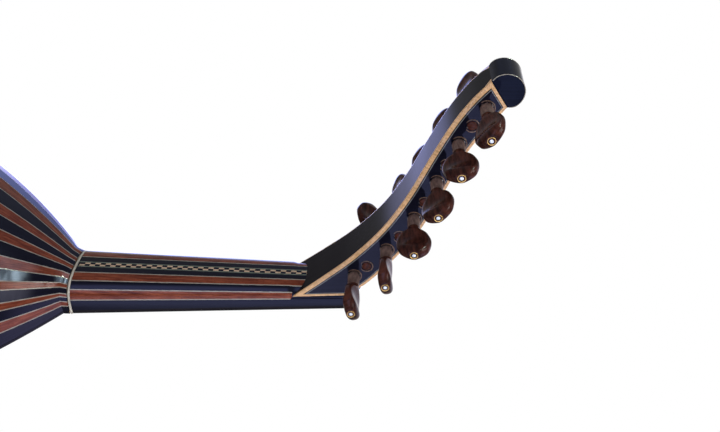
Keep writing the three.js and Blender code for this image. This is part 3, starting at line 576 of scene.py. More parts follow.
core_arcs = np.linspace(-past_edge, past_edge, 61)
low_core = neck_skin([pegbox_foot - 1, neck_end], core_arcs, core_sink, False)
low_core[..., 1] = np.minimum(low_core[..., 1], pegbox_seat - seat_gap)
core = [neck_skin([strip_start, pegbox_foot - 1], core_arcs, core_sink, False),
        neck_skin([pegbox_foot - tuck_lead, strip_end], core_arcs, core_sink), low_core]
piece("neck_ebony_strips", neck_ebony, [ebony_lacquered])
piece("neck_padauk_strips", neck_padauk, [padauk_lacquered])
piece("neck_lines", neck_lines, [purfling_maple])
sage_line = pale_line("sage_line", (0.10, 0.12, 0.09), (0.26, 0.29, 0.23), 0.004)
piece("chequer_borders", chequer_borders, [sage_line])
piece("neck_core", [skin(part) for part in core], [ebony_lacquered], "neck")

# The chequer: two rows of pale maple tiles on a dark ground, set half a step apart and let into the neck's
# middle strip.
tile_step, tile_length, tile_low, tile_high, tile_lead, tile_proud = 7.62, 3.9, 0.22, 1.86, 1.2, 0.03
neck_chequer = [strip(strip_runs, -chequer_half, chequer_half)]
for side, offset in ((-1, 0.0), (1, tile_step / 2)):
    for start in np.arange(strip_start + tile_lead + offset, strip_end, tile_step):
        tile = [start, start + tile_length]
        neck_chequer.append(strip(tile, side * tile_low, side * tile_high, tile_proud, tone=1))
tile_maple = pale_line("tile_maple", (0.58, 0.38, 0.24), (0.86, 0.64, 0.44), 0.003)
piece("neck_chequer", neck_chequer, [ebony_lacquered, tile_maple])

# The fingerboard: a flat ebony plate glued to the neck's face. It has no frets, so its face is left plain,
# and its edges are eased and polished.
board_depth, board_ease = 3.35, 0.5
board_runs = np.linspace(strip_start, neck_end, 8)[:, None]
board_x = (np.repeat([-1, 1], 4) * neck_half(board_runs)
           + board_ease * np.array([0, 0, 0.3, 1, -1, -0.3, 0, 0]))
board_y = np.array([board_depth, 0.5, 0.15, 0, 0, 0.15, 0.5, board_depth])
board_z = joint_level + board_runs
ebony_satin = wood("ebony_satin", (0.004, 0.0035, 0.0045), (0.013, 0.011, 0.012), ebony_polish_blue_sheen, pore=0.5,
                   shine=(0.16, 0.26), streak=(0.0009, 0.02))
piece("fingerboard_plate", [skin(pack(board_x, board_y, board_z), pack(board_x + board_y + 60, board_z))],
      [ebony_satin], "fingerboard")

# The nut: a strip of bone glued across the fingerboard's end, bevelled towards the pegbox, with a filed
# slot for each string.
course_count, nut_spread, nut_pair_gap = 6, 23.4, 1.9
nut_half, slot_half_width, slot_depth, nut_rim_width, nut_rim_fall = 19.0, 0.42, 0.42, 0.5, 0.4


def lanes(spread, pair_gap):
    """Where the strings lie across the neck: a single one at the bass edge, then pairs at even steps."""
    middles = -spread / 2 + (spread - pair_gap / 2) * np.arange(1, course_count) / (course_count - 1)
    return np.concatenate([[-spread / 2], pack(middles - pair_gap / 2, middles + pair_gap / 2).ravel()])


nut_lanes = lanes(nut_spread, nut_pair_gap)
nut_x = np.linspace(-nut_half, nut_half, 381)[:, None]
slots = np.exp(-((nut_x - nut_lanes) / slot_half_width) ** 4).sum(1, keepdims=True)
nut_rim = np.clip(1 - (nut_half - np.abs(nut_x)) / nut_rim_width, 0, 1)
# The nut's section, from under its face towards the neck, over its crown and down towards the pegbox
nut_run = np.array([0, 0, 0.3, 1.2, 2.2, 2.7, 3.1, 3.2, 3.2]) + neck_length
nut_y = np.array([10.2, -0.2, -0.5, -0.68, -0.8, -0.62, -0.25, 0.2, 10.2])
slot_cut = np.array([0, 1, 1, 1, 1, 1, 1, 1, 0]) * slot_depth
nut_depth = nut_y + slots * slot_cut + nut_rim ** 2 * nut_rim_fall * (nut_y < 5)


def bone_paint(start):
    place = start.node("TexCoord", output="Object")
    cloud, fibres = place.noise(160.0, 4.0), place.scaled((300, 2500, 2500)).noise(1.0, 2.0)
    return {"Base Color": (cloud * 0.7 + fibres * 0.3).mix((0.62, 0.54, 0.40), (0.84, 0.79, 0.68)),
            "Roughness": 0.22 + cloud * 0.15}


bone = finish("bone", {"IOR": 1.25}, bone_paint)
piece("nut_strip", [skin(pack(nut_x, nut_depth, joint_level + nut_run))], [bone], "nut", crease=40)

# The pegbox cheeks: two black plates, bound along every edge with maple that is widest along the back, and
# just inside that with a fine grey line. They are bored in line for the pegs.
cheek_thickness, binding_width, binding_thickness, line_inset, cheek_line = 4.2, 3.0, 1.0, 3.7, 0.5
binding_lap, plate_inset, line_depth, cheek_line_proud, bore_room = 0.95, 0.9, 0.3, 0.04, 0.3
back_shares = [[0, 0], [0.167, 0.103], [0.33, 0.212], [0.488, 0.349], [0.615, 0.505], [0.724, 0.677],
               [0.826, 0.827], [0.915, 0.928], [1, 1]]
rim_shares = [[0.287, 0], [0.405, 0.066], [0.566, 0.206], [0.698, 0.357], [0.859, 0.618], [0.929, 0.73],
              [1.082, 0.892]]
peg_shares = [[0.337, 0.108], [0.51, 0.24], [0.65, 0.395], [0.761, 0.567], [0.861, 0.739], [0.985, 0.891]]
far_peg_share, peg_radius, peg_tip_radius = 0.45, 4.2, 3.3


def spline(shares, ways):
    """A smooth curve through places given as shares of the pegbox's run and rise, at ways from 0 to 1:
    between two places, a cubic that leaves each along half the chord of its neighbours."""
    places = np.array([pegbox_foot, pegbox_seat]) + np.array(shares) * (pegbox_run, pegbox_rise)
    spot = np.asarray(ways, float) * (len(places) - 1)
    first = np.minimum(spot.astype(int), len(places) - 2)
    t = (spot - first)[:, None]
    before, here, there, after = (places[np.clip(first + k, 0, len(places) - 1)] for k in (-1, 0, 1, 2))
    leave, arrive = (there - before) / 2, (after - here) / 2
    return ((2 * here - 2 * there + leave + arrive) * t ** 3
            + (-3 * here + 3 * there - 2 * leave - arrive) * t ** 2 + leave * t + here)


# Each peg's name, its head's side and its place in the pegbox's side view: the far ones stand between
pegs, last = [], len(peg_shares) - 1
for number in range(last + 1):
    pegs.append((f"peg_bass_{number + 1}", -1, spline(peg_shares, [number / last])[0]))
    if number < last:
        between = (number + far_peg_share) / last
        pegs.append((f"peg_treble_{number + 1}", 1, spline(peg_shares, [between])[0]))

# Each side of the cheek: its line, the room kept free at its first corner, how deep its edge is covered by
# the binding, and its share of the binding's width
back_line, rim_line = spline(back_shares, np.linspace(0, 1, 90)), spline(rim_shares, np.linspace(1, 0, 80))
cheek_sides = [(back_line, 15.0, 1.05, 1.04),
               (np.linspace(back_line[-1], rim_line[0], 9), 6.0, cheek_thickness, 0.70),
               (rim_line, 6.0, cheek_thickness, 0.70),
               (np.linspace(rim_line[-1], back_line[0], 24), 6.0, cheek_thickness, 0.70)]
corners = [(line[0], room) for line, room, _, _ in cheek_sides]
rows = []
for number, (line, _, cover, share) in enumerate(cheek_sides):
    ends = corners[number], corners[(number + 1) % 4]
    kept = [point for point in line if all(np.linalg.norm(point - end) > room for end, room in ends)]
    rows += [[*point, cover, share] for point in (line[0], *kept)]
cheek_outline, cheek_cover, cheek_share = np.split(np.array(rows), [2, 3], 1)
side_in = right_of(unit(np.roll(cheek_outline, -1, 0) - cheek_outline))
side_in_before = np.roll(side_in, 1, 0)
bend = (side_in * side_in_before).sum(1, keepdims=True)
mitre = (side_in + side_in_before) / (1 + bend)
run_round = run_along(cheek_outline)[:, None]


def inset_line(inset):
    """The outline moved inwards by an inset times each side's share of the binding's width: at a corner,
    the point as far in from both its sides as each asks."""
    before = np.roll(cheek_share, 1, 0)
    return cheek_outline + inset * (mitre * (cheek_share + before) / 2 + (side_in - side_in_before)
                                    * (cheek_share - before) / 2 / np.maximum(1 - bend, 0.01))


def in_pegbox(x, flat):
    """From a distance across the pegbox and a place in its side view, run and depth, to a point."""
    return pack(x, flat[..., 1], joint_level + flat[..., 0])


def in_cheek(side, flat, inwards):
    """From a place in the cheek's plane and a distance in from its outer face to a point."""
    return in_pegbox(side * (cheek_outer(flat[..., 0]) - inwards), flat)


def banding(side, profile):
    """A strip carried round the cheek's outline. The profile holds its corners as distances in from the
    edge and in from the outer face; None stands for how deep each side's edge is covered."""
    rings = [in_cheek(side, inset_line(inset), cheek_cover[:, 0] if inwards is None else inwards)
             for inset, inwards in profile]
    return skin(np.stack(rings, 1), pack(0.8 * np.arange(len(profile)), run_round), loop=True)


def pierced(edge, holes, thickness, place):
    """A flat plate with round holes: its edge, filled and given its thickness, and put in place by place(),
    which takes flat points and their depths."""
    flat = bpy.data.curves.new("pierced_plate", "CURVE")
    flat.dimensions, flat.fill_mode, flat.extrude = "2D", "BOTH", 0.5
    for ring in [edge] + [circle(middle, radius, full_turn(48)) for middle, radius in holes]:
        line = flat.splines.new("POLY")
        line.points.add(len(ring) - 1)
        line.points.foreach_set("co", np.c_[ring, np.zeros(len(ring)), np.ones(len(ring))].ravel())
        line.use_cyclic_u = True
    holder = bpy.data.objects.new("pierced_plate", flat)
    bpy.context.scene.collection.objects.link(holder)
    mesh = bpy.data.meshes.new_from_object(holder.evaluated_get(bpy.context.evaluated_depsgraph_get()))
    bpy.data.objects.remove(holder)
    points = np.empty(len(mesh.vertices) * 3)
    mesh.vertices.foreach_get("co", points)
    points = points.reshape(-1, 3)
    faces = [list(face.vertices) for face in mesh.polygons]
    triangles = np.array([[face[0], face[k], face[k + 1]] for face in faces
                          for k in range(1, len(face) - 1)])
    made = place(points[:, :2], (points[:, 2] + 0.5) * thickness)
    return made, outward(made, faces, triangles), points[:, 1::-1], 0


binding_profile = [(0.0, 0.45), (0.15, 0.15), (0.45, -cheek_line_proud), (binding_width, -cheek_line_proud),
                   (binding_width, binding_thickness), (binding_lap, binding_thickness),
                   (binding_lap, None), (0.0, None)]
line_profile = [(line_inset, -cheek_line_proud), (line_inset + cheek_line, -cheek_line_proud),
                (line_inset + cheek_line, line_depth), (line_inset, line_depth)]
for side, name in ((-1, "cheek_bass"), (1, "cheek_treble")):
    holes = [(at, (peg_radius if peg_side == side else peg_tip_radius) + bore_room)
             for _, peg_side, at in pegs]
    plate = pierced(cheek_outline + mitre * plate_inset, holes, cheek_thickness,
                    lambda flat, inwards: in_cheek(side, flat, inwards))
    piece(name + "_plate", [plate], [ebony_lacquered], "pegbox_" + name)
binding_maple = pale_line("binding_maple", (0.52, 0.27, 0.11), (0.98, 0.62, 0.34), 0.0014)
piece("cheek_bindings", [banding(side, binding_profile) for side in (-1, 1)], [binding_maple])
grey_line = pale_line("grey_line", (0.16, 0.17, 0.17), (0.30, 0.31, 0.30), 0.003)
piece("cheek_lines", [banding(side, line_profile) for side in (-1, 1)], [grey_line])

# The bushes: thin brown rings of wood let into each cheek round every peg, at its thick end and at its tip.
# They stand a hair proud of the cheek, with a soft edge.
# The section of a bush, as distances out from the shaft and out from the cheek's face
bush_profile = np.array([(0.7, -0.6), (0.7, 0.05), (0.85, 0.2), (1.35, 0.2), (1.5, 0.05), (1.5, -0.3)])


def turned(profile, side, at, tone=0, sides=28, loop=False):
    """A shape turned round a peg's axis from a line of radii and distances out from the middle."""
    radius, out = np.array(profile).T[..., None]
    return skin(in_pegbox(side * out, circle(at, radius, full_turn(sides))), loop=loop, tone=tone)


bushes = [turned(bush_profile + (peg_radius if side == peg_side else peg_tip_radius, cheek_outer(at[0])),
                 side, at, sides=48, loop=True) for _, peg_side, at in pegs for side in (-1, 1)]
bush_wood = wood("bush_wood", (0.08, 0.045, 0.030), (0.21, 0.13, 0.09), {"IOR": 1.16}, own_map=False,
                 streak=(0.0006, 0.004), shine=(0.2, 0.3))
piece("peg_bushes", bushes, [bush_wood])

# The pegbox back: an ebony board between the cheeks, veneered across their edges up to the bindings, with
# a satin polish. A block fills its foot as far as the nut.
back_thickness, back_veneer, veneer_lap, veneer_margin = 4.0, 0.9, 0.1, 1.02
board_gap, block_gap = 0.3, 1.0
back_path = spline(back_shares, np.linspace(0, 1, 80))
back_in = right_of(unit(np.gradient(back_path, axis=0)))


def back_layer(half, top, bottom, steps=17):
    """A layer of the back: across its half width, from one depth under the skin to another."""
    share = np.linspace(-1, 1, steps)
    depths = np.repeat([top, bottom], steps)[:, None]
    rings = in_pegbox(half[:, None] * np.concatenate([share, share[::-1]]),
                      back_path[:, None] + back_in[:, None] * depths)
    return skin(rings, pack(rings[..., 0] + 100, rings[..., 2]))


inner_half = cheek_outer(back_path[:, 0]) - cheek_thickness - board_gap
block_runs = np.linspace(pegbox_foot + 8, neck_length, 12)
block_half = cheek_outer(block_runs) - cheek_thickness - board_gap
block_top = np.interp(block_runs, *back_path.T) - block_gap
block = np.stack([pack(x * block_half, y, joint_level + block_runs) for x, y in
                  ((-1, pegbox_seat), (1, pegbox_seat), (1, block_top), (-1, block_top))], 1)
back_ebony = wood("back_ebony", (0.0045, 0.0035, 0.0045), (0.010, 0.0075, 0.0095), {"IOR": 1.06}, pore=0.3,
                  shine=(0.10, 0.16))
piece("pegbox_back_board", [back_layer(cheek_outer(back_path[:, 0]) - veneer_margin, 0, back_veneer),
                            back_layer(inner_half, back_veneer - veneer_lap, back_thickness), skin(block)],
      [back_ebony], "pegbox_back")

# The finial: a half-barrel of ebony glued across the pegbox's end, which carries the back's line over to
# the front. A pale line is let into the arris at each of its ends.
finial_middle = np.array([pegbox_foot + pegbox_run * 1.07, pegbox_seat + pegbox_rise * 0.958])
finial_radius, finial_ease, finial_blend = 12.1, 0.8, 0.12
arris_inset, arris_radius = 0.2, 0.27
back_corner, front_lip = back_line[-1], rim_line[0]
spans = [corner - finial_middle for corner in (back_corner, front_lip)]
start_reach, end_reach = (np.linalg.norm(span) for span in spans)
start_angle, end_angle = (np.arctan2(*span[::-1]) for span in spans)
way = np.linspace(0, 1, 49)
reach = np.where(way < 0.5, start_reach, end_reach)
reach = reach + (finial_radius - reach) * smooth(np.minimum(way, 1 - way) / finial_blend)
angle = start_angle + (end_angle - start_angle) * way
barrel = finial_middle + reach[:, None] * pack(np.cos(angle), np.sin(angle))
barrel = np.concatenate([barrel, np.linspace(front_lip, back_corner, 8)[1:-1]])
finial_half = cheek_outer(back_corner[0])
eased_x = finial_half - finial_ease * (1 - np.sin(np.linspace(0, np.pi / 2, 6)))
finial_x = np.sort(np.concatenate([-eased_x, np.linspace(-0.9, 0.9, 9) * finial_half, eased_x]))
to_end = np.clip((finial_half - np.abs(finial_x)) / finial_ease, 0, 1)
finial_inset = finial_ease * (1 - np.sqrt(1 - (1 - to_end) ** 2))
away = unit(barrel - barrel.mean(0))
finial_rings = in_pegbox(finial_x[:, None], barrel - away * finial_inset[:, None, None])
# Its blue-black colour and blue specular tint are a painted blue sky reflection on black ebony.
finial_ebony_blue_sheen = wood("finial_ebony_blue_sheen", (0.0045, 0.0055, 0.013), (0.0090, 0.0110, 0.026),
                    {"IOR": 1.07, "Specular Tint": (0.60, 0.68, 1.0, 1)}, pore=0.2)
piece("finial_block", [skin(finial_rings, finial_rings[..., 1::-1])], [finial_ebony_blue_sheen],
      "pegbox_finial", crease=50)


def tube(line, radius, sides=10, tone=0):
    """A round wire along a line of points: each ring stands square to the line's own direction."""
    way = unit(np.gradient(line, axis=0))
    first = unit(np.cross(way, np.array([0.03, 0.04, 1.0])))
    second = np.cross(way, first)
    turn = full_turn(sides)[:, None]
    return skin(line[:, None] + radius * (np.cos(turn) * first[:, None] + np.sin(turn) * second[:, None]),
                tone=tone)


arris = (barrel - away * arris_inset)[1:48]
arris_lines = [tube(in_pegbox(side * (finial_half - arris_inset), arris), arris_radius) for side in (-1, 1)]
piece("finial_lines", arris_lines, [purfling_maple])


# The strings: silver-plated wire wound round a silk core for the five deepest, clear nylon for the others.
# They are tied at the bridge, lie in the nut's slots and end in a few turns round their pegs.
def clouded(name, first, second, rough, scale, detail, constants, **others):
    """A material in which soft clouds go over from one colour and roughness to another."""
    def build(start):
        cloud = start.node("TexCoord", output="Object").noise(scale, detail, **others)
        return {"Base Color": cloud.mix(first, second),
                "Roughness": rough[0] + cloud * (rough[1] - rough[0])}
    return finish(name, constants, build)


def wire_paint(start):
    place = start.node("TexCoord", output="Object")
    coil = start.node("TexWave", {"wave_type": "BANDS", "bands_direction": "Z"}, {
        "Vector": place, "Scale": 700.0, "Distortion": 0.0})
    wear = place.noise(90.0, 3.0)
    bump = start.node("Bump", None, {"Strength": 0.6, "Distance": 0.00005, "Height": coil})
    return {"Base Color": wear.mix((0.30, 0.29, 0.28), (0.55, 0.55, 0.56)), "Roughness": 0.25 + wear * 0.2,
            "Normal": bump}


def string_radius(number):
    """Half a string's thickness: evenly less from the first string to the last."""
    return bass_radius + (treble_radius - bass_radius) * number / (string_count - 1)


def dress(name, material, slot):
    """Gives a solid that stays visible as it is its finish."""
    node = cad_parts[name]
    node.data.materials.clear()
    node.data.materials.append(material)


string_count, wound_count, bass_radius, treble_radius = 11, 5, 0.55, 0.32
string_wound = finish("string_wound", {"Metallic": 1.0}, wire_paint)
string_nylon = clouded("string_nylon", (0.60, 0.57, 0.50), (0.80, 0.78, 0.72), (0.15, 0.25), 120.0, 2.0, {})
for number in range(string_count):
    dress(f"string_{number + 1:02d}", *((string_wound, "string_wound") if number < wound_count
                                        else (string_nylon, "string_nylon")))

# The pegs: turned and carved rosewood, their necks left unpolished and paler, partly as painted light from
# above. A tapered shaft runs through both cheeks; the thumb piece is a thick oval biscuit, hollowed across
# both faces, and a pearl pip in a brass ring is let into its end.
peg_neck, head_length, head_width, head_thickness, squareness = 15.0, 27.0, 23.0, 9.0, 0.38
# How far each thumb piece is turned from lying along the neck, in degrees, from the nut to the head
rest_turns = {-1: [104, 99, 2, 32, 12, 48], 1: [140, 70, 50, 55, 60]}
# The shaft's sections from tip to neck: distances out from the far face and the near one, and what is to be
# added to the radius of the tip and of the thick end
tip_sections = np.array([[-0.8, -1.7], [-0.64, -0.7], [-0.32, -0.2], [0, 0], [4.2, 0]])
neck_sections = np.array([[-4.2, 0], [0.1, -0.5], [0.5, -0.2], [1.2, 0], [2.4, 0.1], [6, 0], [10, -0.05]])
# The thumb piece's sections: shares of its length, width and thickness, and how square the section is
head_sections = np.array([
    [-0.12, 0.36, 0.925, 0], [-0.05, 0.365, 0.93, 0], [0.0, 0.385, 0.95, 0.2], [0.05, 0.48, 0.96, 0.5],
    [0.13, 0.71, 0.91, 0.8], [0.28, 0.90, 0.76, 1], [0.45, 1.0, 0.68, 1], [0.62, 0.97, 0.79, 1],
    [0.73, 0.885, 0.955, 1], [0.765, 0.853, 1.0, 0.9], [0.80, 0.82, 0.985, 0.8], [0.87, 0.70, 0.93, 0.6],
    [0.95, 0.49, 0.80, 0.4], [0.985, 0.36, 0.72, 0.3]])
head_shares = np.concatenate([np.linspace(-0.12, 0.9, 52), np.linspace(0.91, 0.985, 9)])
# The first and last ring of each stretch of a peg, and whether it is the unpolished neck, paler partly as
# painted light
stretches = [(0, 6, 0), (5, 14, 1), (13, None, 0)]
# The pip's and the brass ring's sections, as radii and distances out from where the thumb piece ends
pip_profile = [(0.05, 0.4), (0.6, 0.35), (1.0, 0.2), (1.25, 0.0), (1.25, -1.4), (0.05, -1.4)]
ring_profile = [(2.3, -1.4), (2.3, 0.05), (2.38, 0.12), (2.56, 0.12), (2.64, 0.0), (2.64, -1.4)]
trim_sink = 0.4


def curve_through(places, values, at):
    """A smooth line through given values: between two, a cubic with slopes that their neighbours set."""
    slopes = np.gradient(values, places)
    spot = np.clip(np.searchsorted(places, at, side="right") - 1, 0, len(places) - 2)
    gap = places[spot + 1] - places[spot]
    t = (at - places[spot]) / gap
    return ((1 + 2 * t) * (1 - t) ** 2 * values[spot] + t * (1 - t) ** 2 * gap * slopes[spot]
            + t * t * (3 - 2 * t) * values[spot + 1] + t * t * (t - 1) * gap * slopes[spot + 1])


def peg_rings(side, at, turned_by):
    """A peg's sections from tip to head, and their grain: x = r cos, y = r sin, each to a power under 1
    where they are squarer, round a straight axis, and turned about it. Widths and thicknesses follow smooth
    lines."""
    outer = cheek_outer(at[0])
    shaft = np.concatenate([tip_sections + (-outer, peg_tip_radius), neck_sections + (outer, peg_radius)])
    width, thick, square = (curve_through(head_sections[:, 0], column, head_shares)
                            for column in head_sections[:, 1:].T)
    out = np.concatenate([shaft[:, 0], outer + peg_neck + head_shares * head_length])[:, None]
    power = 1 - squareness * np.concatenate([np.zeros(len(shaft)), np.clip(square, 0, 1)])[:, None]
    turn = full_turn(56)
    wide, high = (np.concatenate([shaft[:, 1], size / 2])[:, None] * np.sign(wave) * np.abs(wave) ** power
                  for size, wave in ((width * head_width, np.cos(turn)),
                                     (thick * head_thickness, np.sin(turn))))
    cos, sin = np.cos(turned_by), np.sin(turned_by)
    rings = in_pegbox(side * out, at + pack(wide * cos - high * sin, high * cos + wide * sin))
    return rings, pack(wide + 0.3 * high, side * out)


peg_rosewood = wood("peg_rosewood", (0.009, 0.0045, 0.0050), (0.115, 0.036, 0.025),
                    {"IOR": 1.09, "Specular Tint": (0.85, 0.85, 1.0, 1)}, streak=(0.0026, 0.014), pore=0.5,
                    shine=(0.10, 0.20), wave=0.00003)
# The necks' paler colour is partly painted light falling from above. They are also rougher, as unpolished
# wood.
peg_neck_lit_wood = wood("peg_neck_lit_wood", (0.085, 0.050, 0.042), (0.29, 0.19, 0.165), {"IOR": 1.15},
                     streak=(0.0012, 0.006), pore=0.3, shine=(0.4, 0.55), wave=0.00006)
pearl = clouded("pearl", (0.55, 0.66, 0.86), (0.92, 0.94, 0.98), (0.08, 0.16), 700.0, 3.0, {"IOR": 1.6},
                Distortion=1.0)
brass = clouded("brass", (0.17, 0.10, 0.03), (0.42, 0.27, 0.09), (0.25, 0.45), 900.0, 3.0,
                {"Metallic": 1.0})

# The outer strings go to the nearest pegs and the inner ones further. Each comes up over its peg from the
# nut's side, a little inside its lane, and its turns lie beside each other towards the middle
string_order = [0, 10, 1, 9, 2, 8, 3, 7, 4, 6, 5]
peg_lane_share, coil_turns, coil_pitch, coil_landing, landing_height = 0.86, 2.6, 1.155, 0.5, 0.3
coil_start = np.arctan2(-1.0, 0.8)
turns = np.linspace(0, coil_turns, 90)
for (name, side, at), string in zip(pegs, string_order):
    body = name + "_body"
    rings, grain = peg_rings(side, at, np.radians(rest_turns[side][int(name[-1]) - 1]))
    peg = [skin(rings[first:last], grain[first:last], tone=tone) for first, last, tone in stretches]
    piece(name + "_rosewood", peg, [peg_rosewood, peg_neck_lit_wood], name, body, crease=60)
    outer = cheek_outer(at[0])
    head_end = outer + peg_neck + head_length - trim_sink
    radius, lane = string_radius(string), nut_lanes[string] * peg_lane_share
    shaft = peg_tip_radius + (peg_radius - peg_tip_radius) * (side * lane + outer) / (2 * outer)
    coil_radius = shaft + radius + (peg_radius + landing_height - shaft) * np.clip(
        1 - turns / coil_landing, 0, 1)
    coil = in_pegbox(lane - np.sign(lane) * radius * coil_pitch * turns,
                     circle(at, coil_radius, coil_start + 2 * np.pi * turns))
    trim = [turned(np.add(pip_profile, (0, head_end)), side, at, 0),
            turned(np.add(ring_profile, (0, head_end)), side, at, 1), tube(coil, radius, tone=2)]
    wire = string_wound if string < wound_count else string_nylon
    piece(name + "_trim", trim, [pearl, brass, wire], body=body, crease=50)

# The soundboard: two book-matched halves of straight-grained spruce, bound round the edge with ebony and a
# pale line, with seven braces glued across behind it.
board_thickness, board_inset, hole_room = 2.0, 1.2, 0.3
brace_half_thickness, brace_low, brace_high, brace_end, brace_room = 2.5, 1.8, 15.0, 13.0, 16.0
band_width, band_ease, band_fall, board_line_width = 3.0, 0.15, 0.1, 0.8
inlay_proud, inlay_depth, large_radius, small_radius = 0.04, 0.6, 52.0, 26.0
# Each rosette's distance across and below the joint, its radius, and its number of interlaced rings
rosettes = {"rosette_large": (0.0, 172.0, large_radius, 12),
            "rosette_bass_side": (-66.0, 240.0, small_radius, 8),
            "rosette_treble_side": (66.0, 240.0, small_radius, 8)}
pear_drops = 0.3 + (body_length - 0.3) * (1 - np.cos(np.linspace(0, np.pi, 161))) / 2
half_pear = pack(outline(pear_drops), joint_level - pear_drops)[:-1]
pear = np.concatenate([half_pear, [[0, joint_level - body_length]], half_pear[::-1] * (-1, 1)])
pear_in = right_of(unit(np.roll(pear, -1, 0) - np.roll(pear, 1, 0)))
spruce = wood("soundboard_spruce", (0.50, 0.29, 0.115), (0.74, 0.50, 0.24), {"IOR": 1.45}, own_map=False,
              streak=(0.0010, 0.35), pore=0.06, shine=(0.30, 0.42))


def on_board(flat, depth):
    """From a place on the soundboard and a depth behind its face to a point."""
    return pack(flat[..., 0], depth, flat[..., 1])


board_holes = [((x, joint_level - drop), radius + hole_room) for x, drop, radius, _ in rosettes.values()]
board = pierced(pear + pear_in * board_inset, board_holes, board_thickness, on_board)
brace_drops = np.array([79.5, 111, 275, 315.75, 356.5, 414.5, 451.5])
braces = []
for drop, half in zip(brace_drops, outline(brace_drops) - brace_room):
    profile = np.array([[-half, brace_low], [half, brace_low], [half - brace_end, brace_high],
                        [brace_end - half, brace_high]])
    braces.append(skin(np.stack([lift(profile, joint_level - drop + side) for side in
                                 (-brace_half_thickness, brace_half_thickness)])))
piece("spruce_board", [board, *braces], [spruce], "soundboard", crease=40)


def board_band(low, high, deep):
    """A strip let into the board's face all the way round, between two distances in from its edge."""
    corners = [(low, band_fall), (low + band_ease, -inlay_proud), (high, -inlay_proud), (high, deep),
               (low, deep)]
    return skin(np.stack([on_board(pear + pear_in * inset, depth) for inset, depth in corners], 1))


piece("board_binding", [board_band(0.0, band_width, board_thickness)], [ebony_satin])
piece("board_line", [board_band(band_width, band_width + board_line_width, inlay_depth)], [purfling_maple])


# The rosettes: pierced fretwork of interlaced rings in a turned rim, glued into holes in the soundboard.
# Fine circles of rosewood and maple are inlaid round each.
def hoop(middle, radius, width, front, back, sides=96, tone=0):
    """A flat ring in the board's plane: round a middle, with a width, from one depth to another."""
    radii = radius + width / 2 * np.array([-1, 1, 1, -1])
    flat = circle(middle, radii, full_turn(sides)[:, None])
    return skin(on_board(flat, np.array([front, front, back, back])), loop=True, tone=tone)


trim_wood = wood("trim_rosewood", (0.035, 0.013, 0.009), (0.10, 0.040, 0.024), {"IOR": 1.45}, own_map=False,
                 streak=(0.0012, 0.02), shine=(0.2, 0.3))
rosette_wood = wood("rosette_wood", (0.045, 0.018, 0.010), (0.13, 0.055, 0.028), {"IOR": 1.45},
                    own_map=False, streak=(0.0012, 0.02), shine=(0.25, 0.35))
rim_width, rim_reach, bar_share, over_step = 3.5, 3.2, 0.030, 0.004
fret_front, fret_back, hub_width, hub_depth = 0.55, 1.6, 1.3, 1.2
# The rounds of rings: a ring's radius as a share of the space in the rim, and how much deeper the round is
rounds = [(0.50, 0.0), (0.24, 0.03)]
# The two rings in the middle: their shares of the rosette's radius, their fronts' depths and their sides
hubs = [(0.30, 0.50, 48), (0.12, 0.52, 32)]
# The inlaid circles: their distances out from the rim and widths for the large rosette, and their wood
inlays = [(1.6, 0.9, 0), (2.9, 0.5, 1), (4.2, 1.6, 0), (5.6, 0.5, 1), (6.7, 0.8, 0)]
board_inlays = []
for name, (x, drop, radius, petals) in rosettes.items():
    middle, inner, bar = (x, joint_level - drop), radius - rim_reach, radius * bar_share
    shells = [hoop(middle, radius - rim_width / 2, rim_width, 0.0, board_thickness)]
    shells += [hoop(middle, radius * hub_share, bar * hub_width, front, front + hub_depth, sides)
               for hub_share, front, sides in hubs]
    # Each ring lies a hair deeper than the one before
    for number in range(petals):
        for ring_share, deeper in rounds:
            at = circle(middle, inner * (1 - ring_share), 2 * np.pi * number / petals)
            depth = deeper + over_step * number
            shells.append(hoop(at, inner * ring_share, bar, fret_front + depth, fret_back + depth, 48))
    piece(name.replace("rosette", "fretwork"), shells, [rosette_wood], name)
    scale = (radius / large_radius + 1) / 2
    board_inlays += [hoop(middle, radius + gap * scale, width * scale, -inlay_proud, inlay_depth, 128,
                          tone)
                     for gap, width, tone in inlays]
piece("rosette_circles", board_inlays, [trim_wood, purfling_maple])

# The bridge: a low bar of rosewood with drawn-out tips, glued to the soundboard. The strings are tied
# round it.
bridge_level, bridge_half_length, bridge_half, bridge_height, glue = -578.0, 60.0, 6.5, 7.9, 0.3
bridge_spread, bridge_pair_gap = 72.0, 4.4
# The tips start at a share of the half length. They lose shares of the bar's thickness and height, each
# with its power
tip_start, tip_thinner, tip_lower, thinner_power, lower_power = 0.74, 0.7, 0.8, 1.4, 0.9
share = np.linspace(-1, 1, 121)[:, None]
fall = np.clip((np.abs(share) - tip_start) / (1 - tip_start), 0, 1)
bridge_thick = bridge_half * (1 - tip_thinner * fall ** thinner_power)
bridge_top = bridge_height * (1 - tip_lower * fall ** lower_power)
# Half of the section: a foot, and an upper edge rounded as a quarter of an ellipse
rounding = np.linspace(0, np.pi / 2, 5)
half_section = np.concatenate([[[-1, 0]], pack(-0.6 - 0.3 * np.cos(rounding),
                                               0.62 + 0.38 * np.sin(rounding))])
section = np.concatenate([half_section, half_section[::-1] * (-1, 1)])
bridge_rings = pack(share * bridge_half_length, -glue - bridge_top * section[:, 1],
                    bridge_level + bridge_thick * section[:, 0])
bridge_grain = pack(bridge_rings[..., 1] + bridge_rings[..., 2], bridge_rings[..., 0])
bridge_wood = wood("bridge_rosewood", (0.030, 0.011, 0.008), (0.095, 0.036, 0.024), {"IOR": 1.45},
                   streak=(0.0011, 0.02), shine=(0.18, 0.3))
piece("bridge_bar", [skin(bridge_rings, bridge_grain)], [bridge_wood], "bridge", crease=40)

